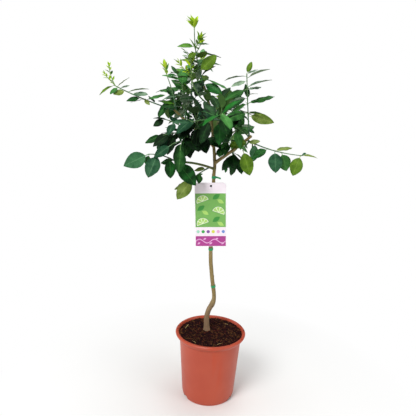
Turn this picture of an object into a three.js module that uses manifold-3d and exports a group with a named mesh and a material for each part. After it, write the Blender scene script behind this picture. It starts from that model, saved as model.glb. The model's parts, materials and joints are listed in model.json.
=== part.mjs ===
// Potted lime tree: a young grafted plant with its label, in a round plastic nursery pot.
// Millimetres, +Z up. The origin is the middle of the pot's flat underside,
// +X is the plant's right as it is looked at and -Y is toward the viewer.

import * as THREE from 'three';
import { mergeVertices } from 'three/addons/utils/BufferGeometryUtils.js';
import Module from 'manifold-3d';

const wasm = await Module();
wasm.setup();

// Clearance between pieces that touch on the real plant
const gap = 0.3;

// Pot wall from the foot up: height and radius, outside and inside. The foot is solid up to its floor, which
// lies above the drainage notches.
const potOutside = [
  [0, 67.4], [1.5, 68.8], [12, 71.7], [168, 83], [171, 84.5], [176, 91], [181, 94.4], [184, 95], [187, 92.5],
];
const potInside = [[11, 69.4], [12.5, 70.2], [167, 81.4], [184, 86.4], [187, 87.6]];
const potSides = 32;

// Drainage notches through the foot, the first in degrees from the front toward the right
const notch = { count: 3, first: -60, width: 19, height: 9.5, from: 54, to: 76 };
const soilTop = 180;

// Trunk: points of its centreline, and its radius at shares of its length
const trunkRoute = [
  [-10, 14, soilTop + gap], [-12, 14, 215], [-8, 13, 240], [5, 9, 278], [-4, 4, 347],
  [-10, 0, 420], [-11, 0, 600], [-11, 0, 655], [-25, 0, 766],
];
const trunkRadius = [
  [0, 9.6], [0.02, 7.8], [0.08, 7], [0.13, 6.6], [0.17, 5.4], [0.45, 5], [0.75, 4.2], [1, 3.3],
];

// Boughs: where each leaves its parent, its tip, the bow of its middle, and its radius at both ends
const boughs = [
  { name: 'bough_leader', on: 'trunk', at: 1, tip: [-45, -2, 832], bow: [3, 0, 0], radii: [3.2, 2.8] },
  { name: 'bough_right', on: 'trunk', at: 0.797, tip: [69, -35, 716], bow: [0, 4, -4], radii: [4.2, 3.4] },
  { name: 'bough_left', on: 'trunk', at: 0.868, tip: [-113, -34, 774], bow: [0, 3, -3], radii: [3.6, 2.8] },
  { name: 'bough_low_left', on: 'trunk', at: 0.77, tip: [-99, -60, 652], bow: [-8, 0, 12], radii: [3, 2.5] },
  { name: 'bough_front', on: 'trunk', at: 0.91, tip: [-4, -78, 752], bow: [-4, 0, -14], radii: [2.9, 2.5] },
  { name: 'bough_back_left', on: 'trunk', at: 0.94, tip: [-60, 48, 792], bow: [2, 0, -8], radii: [2.9, 2.5] },
  { name: 'bough_back', on: 'trunk', at: 0.89, tip: [-4, 60, 756], bow: [-2, 0, -10], radii: [3, 2.5] },
  { name: 'bough_back_right', on: 'trunk', at: 0.83, tip: [22, 50, 694], bow: [0, 2, -6], radii: [2.8, 2.5] },
];

// Foliage: each mass is one stem and the shoots on it. A row says where the shoot leaves its parent, its
// tip and bow, and its leaves: their count, the length of the largest, the turn of the first and the turn
// from leaf to leaf, how far they open from the shoot in degrees, how much they droop, the size of the
// youngest, how far they tilt to one side, how far they face the front, the share of the shoot that is bare
// and where its last leaf is.
// Young tips have a crowd of slim leaves on a thin shoot, where one may touch the next.
// The leaves that stand out one by one are listed as shown: their place on the shoot, their tip, and how
// far they turn their face from the light to the front, from 0 to 1, or below 0 away from the front.
const usual = {
  leaves: 0, blade: 50, turn: 0, step: 137.5, open: 60, droop: 0.3, young: 1, tilt: 0, bare: 0.16, last: 0.97,
  width: 1, stem: 1, facing: 0, crowd: false, bow: [0, 0, 0], shown: [],
};
const youngTip = { crowd: true, width: 0.56, stem: 0.6, bare: 0.2, droop: -0.1, open: 42 };
const masses = {
  foliage_top: [
    { name: 'top', on: 'bough_leader', at: 1, tip: [-73, -5, 962], bow: [-12, 0, 0],
      leaves: 10, blade: 50, turn: 60, open: 56, droop: 0.1, young: 0.8, bare: 0.05, last: 0.6,
      width: 0.9, facing: -0.4,
      shown: [
        [0.68, -111, -10, 917, 0.3], [0.73, -37, 4, 927, 0], [0.58, -82, -30, 891, 0.6],
        [0.57, -7, 10, 898, -0.2], [0.26, -18, -26, 896, 0.9], [0.36, -6, 28, 886, -0.3],
        [0.14, 13, -12, 827, -0.4], [0.04, -5, -26, 813, 0.7],
      ] },
    { ...youngTip, name: 'top_tip', on: 'top', at: 0.97, tip: [-74, -5, 970],
      leaves: 10, blade: 27, open: 34, width: 0.62 },
    { ...youngTip, name: 'top_side', on: 'top', at: 0.66, tip: [-58, -12, 938],
      leaves: 6, blade: 23, turn: 80 },
    { name: 'top_back', on: 'top', at: 0.3, tip: [-52, 46, 898], bow: [0, 6, -6],
      leaves: 6, blade: 42, turn: 280, droop: 0.3, width: 0.85, facing: -0.2 },
  ],
  foliage_second: [
    { name: 'second', on: 'bough_leader', at: 0.35, tip: [-77, -14, 896], bow: [-30, -8, -26],
      leaves: 10, blade: 54, turn: 355, open: 66, droop: 0.05, young: 0.5, bare: 0.05,
      width: 0.8, facing: -0.4 },
    { ...youngTip, name: 'second_side', on: 'second', at: 0.68, tip: [-104, -24, 880],
      leaves: 7, blade: 19, turn: 50 },
  ],
  foliage_left_up: [
    { name: 'left_up', on: 'bough_left', at: 0.95, tip: [-132, -36, 852], bow: [6, 0, 0],
      leaves: 3, blade: 42, turn: 175, last: 0.4,
      shown: [[0.62, -156, -41, 813, -0.2], [0.2, -150, -41, 793, 0.1]] },
    { ...youngTip, name: 'left_up_tip', on: 'left_up', at: 0.96, tip: [-137, -37, 870],
      leaves: 6, blade: 21, turn: 60, open: 34 },
  ],
  foliage_far_left: [
    { name: 'far_left', on: 'bough_left', at: 1, tip: [-250, -60, 824], bow: [0, 0, -8],
      leaves: 3, blade: 34, turn: 205, last: 0.5, width: 0.9, facing: -0.2,
      shown: [
        [0.95, -214, -72, 842, -0.1], [0.9, -217, -46, 826, -0.3], [1, -282, -67, 800, -0.3],
        [0.94, -255, -76, 804, 0.3], [0.82, -247, -73, 802, 0.8], [0.78, -172, -44, 818, -0.5],
        [0.71, -173, -66, 806, 0.2], [0.56, -220, -61, 788, 0.6], [0.51, -170, -55, 782, 0.8],
        [0.47, -135, -38, 808, -0.2],
      ] },
    { ...youngTip, name: 'far_left_tip', on: 'far_left', at: 0.98, tip: [-262, -60, 866], bow: [-4, 0, -4],
      leaves: 9, blade: 14, turn: 200 },
    { ...youngTip, name: 'far_left_side', on: 'far_left', at: 0.98, tip: [-270, -64, 846],
      leaves: 6, blade: 13, turn: 90 },
  ],
  foliage_mid_left: [
    { name: 'mid_left', on: 'bough_left', at: 0.55, tip: [-93, -84, 690], bow: [-4, -8, 10],
      leaves: 5, blade: 66, turn: 345, droop: 0.35 },
    { name: 'mid_left_side', on: 'mid_left', at: 0.75, tip: [-114, -90, 696], bow: [0, 0, 4],
      shown: [[1, -147, -104, 664, 0.8]] },
    { name: 'mid_left_edge', on: 'mid_left', at: 0.3, tip: [-132, -60, 752], bow: [0, 0, 8],
      leaves: 4, blade: 48, turn: 195, droop: 0.4, step: 180, last: 0.8, shown: [[1, -156, -66, 733, 0.8]] },
    { name: 'mid_left_low', on: 'mid_left', at: 0.45, tip: [-134, -76, 716], bow: [0, 0, 8],
      leaves: 3, blade: 56, turn: 0, droop: 0.4, last: 0.7,
      shown: [[1, -174, -80, 696, 0.3], [0.79, -144, -81, 682, 0.6], [0.6, -142, -60, 704, 0.4]] },
  ],
  foliage_heart: [
    { name: 'heart', on: 'bough_left', at: 0.25, tip: [-62, -70, 768], bow: [-4, -14, -6],
      leaves: 10, blade: 68, turn: 260, step: 165, open: 48, droop: 0.65 },
  ],
  foliage_under_left: [
    { name: 'under_left', on: 'bough_left', at: 0.36, tip: [-94, -34, 692], bow: [-10, 0, 8],
      leaves: 6, blade: 56, turn: 110, step: 165, droop: 0.3 },
  ],
  foliage_upper_left: [
    { name: 'upper_left', on: 'bough_left', at: 0.72, tip: [-100, 24, 832], bow: [4, 10, -10],
      leaves: 12, blade: 60, turn: 325, step: 165, open: 64, width: 0.9, facing: -0.3 },
  ],
  foliage_low_left: [
    { name: 'low_left', on: 'bough_low_left', at: 1, tip: [-164, -100, 674], bow: [0, 0, 12], width: 1.15,
      shown: [
        [1, -216, -106, 637, 1], [0.97, -170, -86, 640, 0.9], [0.7, -164, -116, 622, 0.8],
        [0.12, -140, -58, 648, 0.3], [0.28, -114, -77, 616, 0.5], [0.09, -66, -84, 595, 0.5],
      ] },
  ],
  foliage_low_hanging: [
    { name: 'low_hanging', on: 'bough_low_left', at: 0.12, tip: [-74, -36, 602], bow: [0, 0, 4],
      leaves: 3, blade: 36, turn: 40, droop: 0.4, last: 0.8,
      shown: [[1, -109, -22, 578, 0.2], [0.8, -92, -62, 562, 0.9], [0.62, -38, -20, 620, 0.2]] },
  ],
  foliage_right_up: [
    { name: 'right_up', on: 'bough_right', at: 1, tip: [54, -36, 864], bow: [-1, 0, 0],
      leaves: 3, blade: 46, turn: 85, last: 0.6, width: 0.9, facing: -0.3,
      shown: [
        [1, 65, -40, 890, 1], [0.99, 81, -22, 874, -0.4], [0.93, 105, -52, 875, -0.4],
        [0.96, 4, -26, 848, -0.4], [0.89, 21, -50, 833, 0.1], [0.79, 115, -24, 852, -0.4],
        [0.75, 92, -10, 836, -0.4], [0.76, 4, -54, 800, 0], [0.67, 81, -58, 819, -0.2],
        [0.62, 17, -20, 795, 0], [0.54, 120, -46, 815, 0], [0.53, 25, -16, 774, 0.3],
        [0.35, 122, -49, 748, 0.8], [0.39, 9, -55, 753, 0.5], [0.13, 79, -43, 727, 0.8],
      ] },
  ],
  foliage_right_out: [
    { name: 'right_out', on: 'bough_right', at: 0.93, tip: [191, -78, 684], bow: [-6, -6, -12],
      width: 1.15, leaves: 2, blade: 42, turn: 30, droop: 0.8, last: 0.6,
      shown: [
        [0.12, 84, -29, 680, 0], [0.42, 78, -64, 667, 0.3], [0.54, 133, -76, 641, 0.9],
        [0.66, 162, -56, 639, 0.9], [0.55, 173, -46, 696, -0.3], [0.98, 173, -83, 637, 0],
        [0.99, 197, -92, 690, 0.5], [1, 229, -74, 678, -0.2],
      ] },
    { name: 'right_tuft', on: 'right_out', at: 0.06, tip: [54, -56, 686], bow: [0, -4, 4],
      shown: [
        [0.1, 23, -36, 689, 0.8], [0.25, 96, -42, 708, 0.2], [0.95, 72, -68, 630, 0.8],
      ] },
  ],
  foliage_right_low: [
    { name: 'right_low', on: 'bough_right', at: 0.5, tip: [36, -6, 660], bow: [4, 0, 2],
      leaves: 6, blade: 51, turn: 120, step: 30, droop: 0.5,
      shown: [[0.62, 12, -26, 632, 0.7], [0.3, 37, -44, 640, 0.8]] },
  ],
  foliage_right_inner: [
    { name: 'right_inner', on: 'bough_right', at: 0.3, tip: [12, -54, 740], bow: [4, -8, -6],
      leaves: 7, blade: 60, turn: 55, open: 64, droop: 0.2, bare: 0.3, shown: [[0.8, 6, 8, 674, 0.6]] },
  ],
  foliage_mid_right: [
    { name: 'mid_right', on: 'trunk', at: 0.985, tip: [30, 6, 790], bow: [0, 0, -8],
      leaves: 9, blade: 64, turn: 305, step: 165, open: 56, droop: 0.05, width: 0.85, facing: -0.4 },
    { name: 'mid_right_low', on: 'mid_right', at: 0.35, tip: [36, -25, 732], bow: [6, 0, 6],
      leaves: 5, blade: 58, turn: 25, step: 180, open: 67, width: 0.9, facing: -0.2 },
  ],
  foliage_front: [
    { name: 'front', on: 'bough_front', at: 1, tip: [-2, -136, 782], bow: [0, -8, -6],
      leaves: 8, blade: 60, turn: 165, open: 64, droop: 0.05, young: 0.9, facing: -0.3 },
    { name: 'front_left', on: 'front', at: 0.25, tip: [-66, -116, 752], bow: [0, 0, 8],
      leaves: 5, blade: 62, turn: 5, step: 165, open: 66, droop: 0 },
  ],
  foliage_back_left: [
    { name: 'back_left', on: 'bough_back_left', at: 1, tip: [-118, 166, 862], bow: [0, 4, -12],
      leaves: 11, blade: 64, turn: 170, open: 66, droop: 0.15, young: 0.8, bare: 0.06 },
    { name: 'back_left_side', on: 'back_left', at: 0.25, tip: [-134, 94, 794], bow: [0, 0, 6],
      leaves: 9, blade: 64, turn: 210, open: 42, droop: 0.55 },
    { name: 'back_left_up', on: 'back_left', at: 0.3, tip: [-82, 104, 892], bow: [0, 6, -6],
      leaves: 10, blade: 54, turn: 225, open: 48, droop: 0.15, young: 0.6 },
  ],
  foliage_back: [
    { name: 'back', on: 'bough_back', at: 1, tip: [-4, 200, 804], bow: [2, 10, -10],
      leaves: 13, blade: 66, turn: 205, step: 150, open: 52, droop: 0.4, young: 0.8, bare: 0.06 },
    { name: 'back_side', on: 'back', at: 0.25, tip: [42, 122, 776], bow: [0, 0, 6],
      leaves: 6, blade: 58, turn: 245, step: 165, open: 66, droop: 0.4 },
    { name: 'back_inner', on: 'back', at: 0.2, tip: [-48, 114, 754], bow: [0, 0, 6],
      leaves: 6, blade: 60, turn: 95, step: 165, open: 52, droop: 0.6 },
  ],
  foliage_back_right: [
    { name: 'back_right', on: 'bough_back_right', at: 1, tip: [54, 158, 724], bow: [0, 4, 4],
      leaves: 10, blade: 66, turn: 20, step: 150, open: 58, droop: 0.6, bare: 0.06 },
  ],
};

// Leaf: shares of its length, and the fold of its halves
const leaf = { width: 0.5, fold: 0.25, sag: 0.16, thickness: 0.016 };
const leafRoot = { halfWidth: 0.6, halfThickness: 0.4 };

// Half-width of a leaf at shares of its length
const leafOutline = [[0, 0], [0.36, 0.94], [0.72, 0.74], [1, 0]];

// Shoots: three-sided and tapering
const shoot = { sides: 3, steps: 4, baseRadius: 2.4, tipRadius: 1.7 };

// The rule of growth, angles in degrees: the play in the leaves' angles and size, and how often and how far
// a leaf that has no room is turned aside. A leaf that stands out is turned by a share of that.
const rule = {
  turnPlay: 20, openPlay: 8, rollPlay: 20, lastOpen: 0.3, smallest: 0.82,
  tries: 4, tryTurn: 24, shownTry: 0.3,
};

// Turns are counted from this direction, and leaves hold their faces to the light from this one
const turnFrom = [0.3, -0.9, 0.3];
const light = [0.12, -0.35, 1];
const front = [0, -1, 0.1];

// Tape bands on the trunk, by height, and the loose end of the top one
const bandHeights = { tie_low: 314, tie_middle: 420, tie_top: 610 };
const band = { height: 6.5, thickness: 0.9, sides: 12 };
const bandEnd = { length: 14, height: 5, droop: 8 };

// Label card, leaning a little in its own plane, and the pin that holds it to the trunk
const card = { width: 79, height: 167, thickness: 0.9, corner: 9, hole: 4.6, lean: 3 };
const cardMiddle = [-14.6, -13, 515];
const pin = { x: -17, height: 590, ring: 3.2, thickness: 1.6, stud: 1.3, head: 2.8, headThickness: 1.4 };

const finishes = {
  pot: { color: 0xb85c47, roughness: 0.45 },
  soil: { color: 0x38201f, roughness: 1 },
  trunk: { color: 0x8a7350, roughness: 0.8 },
  bough: { color: 0x7a6a3c, roughness: 0.75 },
  foliage: { color: 0x35642c, roughness: 0.45 },
  tie: { color: 0x148c50, roughness: 0.5 },
  label: { color: 0xc9a3c4, roughness: 0.35 },
  label_pin: { color: 0x2b2b2b, roughness: 0.5 },
};

const vector = (x, y, z) => new THREE.Vector3(x, y, z);
const radians = THREE.MathUtils.degToRad;
const between = THREE.MathUtils.lerp;

// Seeded random numbers from 0 to 1, the same in every run
function dice(seed) {
  let state = seed * 7919 + 12345;
  return () => {
    state = (state * 16807) % 2147483647;
    return state / 2147483647;
  };
}

// Value between listed [place, value] pairs
function listed(pairs) {
  return (place) => {
    const next = Math.max(1, pairs.findIndex(([to]) => to >= place));
    const [from, first] = pairs[next - 1];
    const [to, last] = pairs[next];
    return THREE.MathUtils.mapLinear(place, from, to, first, last);
  };
}

// Solid from a three.js geometry: shared corners are merged and empty triangles dropped
function solid(geometry) {
  geometry.deleteAttribute('normal');
  geometry.deleteAttribute('uv');
  const merged = mergeVertices(geometry, 1e-4);
  const corners = merged.index.array;
  const kept = [];
  for (let i = 0; i < corners.length; i += 3) {
    const [a, b, c] = corners.slice(i, i + 3);
    if (a !== b && b !== c && c !== a) kept.push(a, b, c);
  }
  return new wasm.Manifold(new wasm.Mesh({
    numProp: 3,
    vertProperties: merged.attributes.position.array,
    triVerts: new Uint32Array(kept),
  }));
}

// Solid of revolution about the vertical axis from [height, radius] pairs
function turned(pairs, sides) {
  const outline = pairs.map(([height, radius]) => new THREE.Vector2(radius, height));
  return solid(new THREE.LatheGeometry(outline, sides).rotateX(Math.PI / 2));
}

// Solid from a cylinder whose corners are moved by place(ring, angle, spread); spread is 0 on the axis
function loft(sides, steps, place) {
  const body = new THREE.CylinderGeometry(1, 1, 1, sides, steps);
  const corners = body.attributes.position;
  for (let i = 0; i < corners.count; i += 1) {
    const ring = Math.round((corners.getY(i) + 0.5) * steps);
    const turn = Math.atan2(corners.getX(i), corners.getZ(i)) / (2 * Math.PI);
    const side = (Math.round(turn * sides) + sides) % sides;
    const spread = Math.hypot(corners.getX(i), corners.getZ(i)) > 0.5 ? 1 : 0;
    const spot = place(ring, (side / sides) * 2 * Math.PI, spread);
    corners.setXYZ(i, spot.x, spot.y, spot.z);
  }
  return solid(body);
}

// Tapering limb along a curve. Growth makes it fatter and longer all round, to cut a seat with.
function limb({ curve, radiusAt, sides, steps, level }, growth = 0) {
  const frames = curve.computeFrenetFrames(steps);
  return loft(sides, steps, (ring, angle, spread) => {
    const along = ring / steps;
    const radius = (radiusAt(along) + growth) * spread;
    let beyond = 0;
    if (ring === 0) beyond = -growth;
    if (ring === steps) beyond = growth;
    const spot = curve.getPointAt(along)
      .addScaledVector(frames.tangents[ring], beyond)
      .addScaledVector(frames.binormals[ring], radius * Math.sin(angle))
      .addScaledVector(frames.normals[ring], radius * Math.cos(angle));
    if (level && ring === 0) spot.z = curve.getPointAt(0).z - growth;
    return spot;
  });
}

// Curve from a place on the parent to a tip, its middle bowed
function bowed(start, tip, bow) {
  const middle = start.clone().add(tip).multiplyScalar(0.5).add(vector(...bow));
  return new THREE.QuadraticBezierCurve3(start, middle, tip);
}

// Largest body of a solid: loose scraps are dropped
function largest(body) {
  return body.decompose().reduce((a, b) => (a.volume() > b.volume() ? a : b));
}

// Solid with its box, to find what it meets
function boxed(body, owner) {
  const { min, max } = body.boundingBox();
  return { body, owner, box: new THREE.Box3(vector(...min), vector(...max)) };
}

function meets(item, others) {
  const near = others.filter((other) => item.box.intersectsBox(other.box));
  return near.some((other) => !item.body.intersect(other.body).isEmpty());
}

// Pot with its drainage notches
function makePot() {
  const outline = [[0, 0], ...potOutside, ...potInside.toReversed(), [potInside[0][0], 0]];
  let body = turned(outline, potSides);
  const half = notch.width / 2;
  const arch = new THREE.Shape();
  arch.moveTo(-half, -1);
  arch.lineTo(half, -1);
  arch.absarc(0, notch.height - half, half, 0, Math.PI, false);
  arch.closePath();
  for (let i = 0; i < notch.count; i += 1) {
    const cut = new THREE.ExtrudeGeometry(arch, {
      depth: notch.to - notch.from, bevelEnabled: false, curveSegments: 8,
    });
    cut.rotateX(Math.PI / 2).translate(0, -notch.from, 0);
    cut.rotateZ(radians(notch.first + (i * 360) / notch.count));
    body = body.subtract(solid(cut));
  }
  return body;
}

// Soil that fills the pot, clear of its floor and, a little more, of its slanting wall
function makeSoil() {
  const insideAt = listed(potInside);
  const clear = gap * 1.3;
  const wall = potInside.filter(([height]) => height < soilTop);
  const side = wall.map(([height, radius]) => [Math.max(height, wall[0][0] + gap), radius - clear]);
  return turned([
    [side[0][0], 0],
    ...side,
    [soilTop, insideAt(soilTop) - clear],
    [soilTop, 0],
  ], potSides);
}

// Place on the trunk at a height: its share of the length, point, direction and radius
function trunkAt(height) {
  const { curve, radiusAt } = limbs.trunk;
  let low = 0;
  let high = 1;
  for (let i = 0; i < 30; i += 1) {
    const middle = (low + high) / 2;
    if (curve.getPointAt(middle).z < height) low = middle;
    else high = middle;
  }
  return { point: curve.getPointAt(low), direction: curve.getTangentAt(low), radius: radiusAt(low) };
}

// Ring round the trunk, square in section
function ringRound(height, thickness, tall) {
  const { point, direction, radius } = trunkAt(height);
  const inner = radius + gap;
  const outline = [[0, inner], [0, inner + thickness], [tall, inner + thickness], [tall, inner], [0, inner]];
  const points = outline.map(([up, across]) => new THREE.Vector2(across, up - tall / 2));
  const ring = new THREE.LatheGeometry(points, band.sides);
  ring.applyQuaternion(new THREE.Quaternion().setFromUnitVectors(vector(0, 1, 0), direction));
  return solid(ring.translate(point.x, point.y, point.z));
}

function makeBand(name, height) {
  const ring = ringRound(height, band.thickness, band.height);
  if (name !== 'tie_top') return ring;
  const { point, radius } = trunkAt(height);
  const end = new THREE.BoxGeometry(bandEnd.length, band.thickness, bandEnd.height);
  const reach = radius + gap + bandEnd.length / 2;
  end.rotateY(radians(bandEnd.droop)).translate(point.x + reach, point.y, point.z);
  return ring.add(solid(end));
}

// Label card with round top corners and a hole for the pin
function makeCard() {
  const half = card.width / 2;
  const top = card.height / 2;
  const shape = new THREE.Shape();
  shape.moveTo(-half, -top);
  shape.lineTo(half, -top);
  shape.absarc(half - card.corner, top - card.corner, card.corner, 0, Math.PI / 2, false);
  shape.absarc(card.corner - half, top - card.corner, card.corner, Math.PI / 2, Math.PI, false);
  shape.closePath();
  const across = pin.x - cardMiddle[0];
  const up = pin.height - cardMiddle[2];
  const lean = radians(card.lean);
  const hole = new THREE.Path();
  const holeX = across * Math.cos(lean) + up * Math.sin(lean);
  const holeY = up * Math.cos(lean) - across * Math.sin(lean);
  hole.absarc(holeX, holeY, card.hole / 2, 0, 2 * Math.PI, true);
  shape.holes.push(hole);
  const body = new THREE.ExtrudeGeometry(shape, {
    depth: card.thickness, bevelEnabled: false, curveSegments: 5,
  });
  body.translate(0, 0, -card.thickness / 2).rotateX(Math.PI / 2).rotateY(-lean);
  return solid(body.translate(...cardMiddle));
}

// Pin: a ring round the trunk, a stud through the card and a head in front of it
function makePin() {
  const { point, radius } = trunkAt(pin.height);
  const front = cardMiddle[1] - card.thickness / 2 - gap;
  const end = vector(pin.x, front - pin.headThickness / 2, pin.height);
  const start = vector(point.x, point.y - radius - gap - pin.stud, pin.height);
  const middle = vector(pin.x, start.y, pin.height);
  const stud = limb({
    curve: new THREE.QuadraticBezierCurve3(start, middle, end), radiusAt: () => pin.stud, sides: 8, steps: 5,
  });
  const head = new THREE.CylinderGeometry(pin.head, pin.head, pin.headThickness, 10);
  head.translate(end.x, end.y, end.z);
  return ringRound(pin.height, pin.thickness, pin.ring).add(stud).add(solid(head));
}

// Trunk and boughs
const limbs = {
  trunk: {
    curve: new THREE.CatmullRomCurve3(trunkRoute.map((point) => vector(...point)), false, 'catmullrom', 0.5),
    radiusAt: listed(trunkRadius),
    sides: 10,
    steps: 24,
    level: true,
  },
};
for (const { name, on, at, tip, bow, radii } of boughs) {
  limbs[name] = {
    curve: bowed(limbs[on].curve.getPointAt(at), vector(...tip), bow),
    radiusAt: (along) => between(radii[0], radii[1], along),
    sides: 6,
    steps: 5,
  };
}

const solids = { pot: makePot(), soil: makeSoil(), trunk: limb(limbs.trunk) };
for (const [name, height] of Object.entries(bandHeights)) solids[name] = makeBand(name, height);
solids.label = makeCard();
solids.label_pin = makePin();
for (const { name, on } of boughs) {
  solids[name] = largest(limb(limbs[name]).subtract(limb(limbs[on], gap)));
}

// Shoots of every mass, all before the first leaf, so that no leaf stands in the way of one
const shoots = {};
for (const [mass, rows] of Object.entries(masses)) {
  for (const given of rows) {
    const row = { ...usual, ...given, mass, sides: shoot.sides, steps: shoot.steps };
    const parent = limbs[row.on] ?? shoots[row.on];
    row.curve = bowed(parent.curve.getPoint(row.at), vector(...row.tip), row.bow);
    row.radiusAt = (along) => row.stem * between(shoot.baseRadius, shoot.tipRadius, along);
    row.body = largest(limb(row).subtract(limb(limbs[rows[0].on], gap)));
    shoots[row.name] = row;
  }
}

// What stands where a leaf might grow
const taken = [
  ...Object.values(limbs).map((given) => boxed(limb(given, gap))),
  ...['tie_top', 'label', 'label_pin'].map((name) => boxed(solids[name])),
  ...Object.values(shoots).map(({ name, body }) => boxed(body, name)),
];

// One leaf: a pointed plate, folded along its midrib and sagging towards its tip
function leafBody({ root, direction, up, length, width }, growth = 0) {
  const side = direction.clone().cross(up).normalize();
  return loft(4, leafOutline.length - 1, (ring, angle, spread) => {
    const [along, share] = leafOutline[ring];
    let halfWidth = 0;
    let halfThickness = 0;
    if (ring === 0) ({ halfWidth, halfThickness } = leafRoot);
    if (share > 0) {
      halfWidth = (length * leaf.width * width * share) / 2 + growth;
      halfThickness = (length * leaf.thickness) / 2 + growth;
    }
    const across = Math.sin(angle) * spread * halfWidth;
    const lift = Math.cos(angle) * spread * halfThickness + Math.abs(across) * leaf.fold;
    return root.clone()
      .addScaledVector(direction, along * length)
      .addScaledVector(up, lift - leaf.sag * length * along * along)
      .addScaledVector(side, across);
  });
}

// Where leaf number k of a shoot grows, and how long it is, by the shoot's own random numbers.
// Leaves get smaller toward the tip, where they are youngest.
function leafPose(row, k, random) {
  const play = (most) => between(-most, most, random());
  const share = k / Math.max(row.leaves - 1, 1);
  const along = between(row.bare, row.last, share);
  const ahead = row.curve.getTangent(along);
  const turn = radians(row.turn + k * row.step + play(rule.turnPlay));
  const open = radians(row.open * (share === 1 ? rule.lastOpen : 1) + play(rule.openPlay));
  const size = between(rule.smallest, 1, random()) * between(1, row.young, share ** 3);
  const roll = radians(play(rule.rollPlay));
  const aside = ahead.clone().cross(vector(...turnFrom)).normalize().applyAxisAngle(ahead, turn);
  const direction = ahead.clone().multiplyScalar(Math.cos(open)).addScaledVector(aside, Math.sin(open));
  const root = row.curve.getPoint(along);
  return { ...row, root, ahead, direction, roll, length: row.blade * size, shown: false };
}

// The same for a leaf that stands out, which sags to the tip that is given for it
function shownPose(row, [along, x, y, z, facing]) {
  const root = row.curve.getPoint(along);
  const direction = vector(x, y, z).sub(root);
  const length = direction.length();
  direction.z += leaf.sag * length;
  direction.normalize();
  const ahead = row.curve.getTangent(along);
  return { ...row, root, ahead, direction, roll: 0, length, droop: 0, tilt: 0, facing, shown: true };
}

// Direction of a leaf and of its upper face, once it is turned aside round its shoot
function leafAxes({ ahead, direction: given, droop, tilt, roll, facing, shown }, extra) {
  const direction = given.clone().applyAxisAngle(ahead, shown ? extra * rule.shownTry : extra);
  direction.z += tilt * direction.x - droop;
  direction.normalize();
  const up = vector(...light).lerp(vector(...front), facing);
  up.addScaledVector(direction, -up.dot(direction)).normalize().applyAxisAngle(direction, roll);
  return { direction, up };
}

// The turns that a leaf tries before it is left out
const leafTurns = [0];
for (let i = 1; i <= rule.tries; i += 1) {
  leafTurns.push(radians(i * rule.tryTurn), radians(-i * rule.tryTurn));
}

// Leaves of one shoot. Each has to be clear of all that stands, but for the shoot it grows from.
function growLeaves(row, random) {
  const poses = row.shown.map((given) => shownPose(row, given));
  for (let k = 0; k < row.leaves; k += 1) poses.push(leafPose(row, k, random));
  const others = taken.filter(({ owner }) => owner !== row.name);
  const leaves = [];
  for (const pose of poses) {
    const turn = leafTurns.find((extra) => {
      const spread = boxed(leafBody({ ...pose, ...leafAxes(pose, extra) }, gap));
      return !meets(spread, others) && (row.crowd || !meets(spread, leaves));
    });
    if (turn !== undefined) leaves.push(boxed(leafBody({ ...pose, ...leafAxes(pose, turn) })));
  }
  taken.push(...leaves);
  return leaves.map(({ body }) => body);
}

Object.values(shoots).forEach((row, number) => {
  row.body = growLeaves(row, dice(number + 1)).reduce((body, blade) => body.add(blade), row.body);
  solids[row.mass] = solids[row.mass] ? solids[row.mass].add(row.body) : row.body;
});
for (const mass of Object.keys(masses)) solids[mass] = largest(solids[mass]);

// Named mesh of a solid, with the finish of its kind
function makeMesh(name, body) {
  const { vertProperties, triVerts } = body.getMesh();
  const geometry = new THREE.BufferGeometry();
  geometry.setAttribute('position', new THREE.BufferAttribute(vertProperties, 3));
  geometry.setIndex(new THREE.BufferAttribute(triVerts, 1));
  geometry.computeVertexNormals();
  const finish = finishes[name] ?? finishes[name.split('_')[0]];
  const mesh = new THREE.Mesh(geometry, new THREE.MeshStandardMaterial({ ...finish, metalness: 0 }));
  mesh.name = name;
  return mesh;
}

const group = new THREE.Group();
for (const [name, body] of Object.entries(solids)) group.add(makeMesh(name, body));
export default group;
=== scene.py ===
# Potted lime tree: pot, compost, bark, shoots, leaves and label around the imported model.
# The tables are in millimetres and degrees, the studio and the meshes in metres.
import bisect
import json
import math
import random
import bmesh
import bpy
from mathutils import Matrix, Vector, noise
from mathutils.bvhtree import BVHTree
from mathutils.kdtree import KDTree

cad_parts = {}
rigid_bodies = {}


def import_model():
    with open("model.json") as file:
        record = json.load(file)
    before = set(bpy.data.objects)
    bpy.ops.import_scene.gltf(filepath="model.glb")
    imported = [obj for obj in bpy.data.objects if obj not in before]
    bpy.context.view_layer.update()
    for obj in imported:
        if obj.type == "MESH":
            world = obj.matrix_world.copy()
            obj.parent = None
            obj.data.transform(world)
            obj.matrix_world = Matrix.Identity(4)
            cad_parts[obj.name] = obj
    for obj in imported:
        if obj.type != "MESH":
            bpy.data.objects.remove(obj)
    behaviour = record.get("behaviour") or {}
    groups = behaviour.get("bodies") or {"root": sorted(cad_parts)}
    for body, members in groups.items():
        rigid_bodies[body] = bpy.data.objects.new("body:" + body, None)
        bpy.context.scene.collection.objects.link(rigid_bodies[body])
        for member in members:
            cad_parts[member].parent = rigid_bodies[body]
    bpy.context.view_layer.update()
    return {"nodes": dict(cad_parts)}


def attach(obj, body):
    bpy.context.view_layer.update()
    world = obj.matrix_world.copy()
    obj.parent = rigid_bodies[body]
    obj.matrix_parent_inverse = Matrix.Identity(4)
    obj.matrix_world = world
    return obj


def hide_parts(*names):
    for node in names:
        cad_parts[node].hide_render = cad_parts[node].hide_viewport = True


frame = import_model()
mm = 0.001
goldenTurn = 137.5  # from one leaf to the next round a shoot
white = (1, 1, 1, 1)
print("frame loaded with", len(frame["nodes"]), "nodes")


# Node helpers

def linear(code):
    # colour for a socket from a web colour code
    parts = [int(code[i:i + 2], 16) / 255 for i in (1, 3, 5)]
    return tuple(p / 12.92 if p <= 0.04045 else ((p + 0.055) / 1.055) ** 2.4 for p in parts) + (1.0,)


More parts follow.
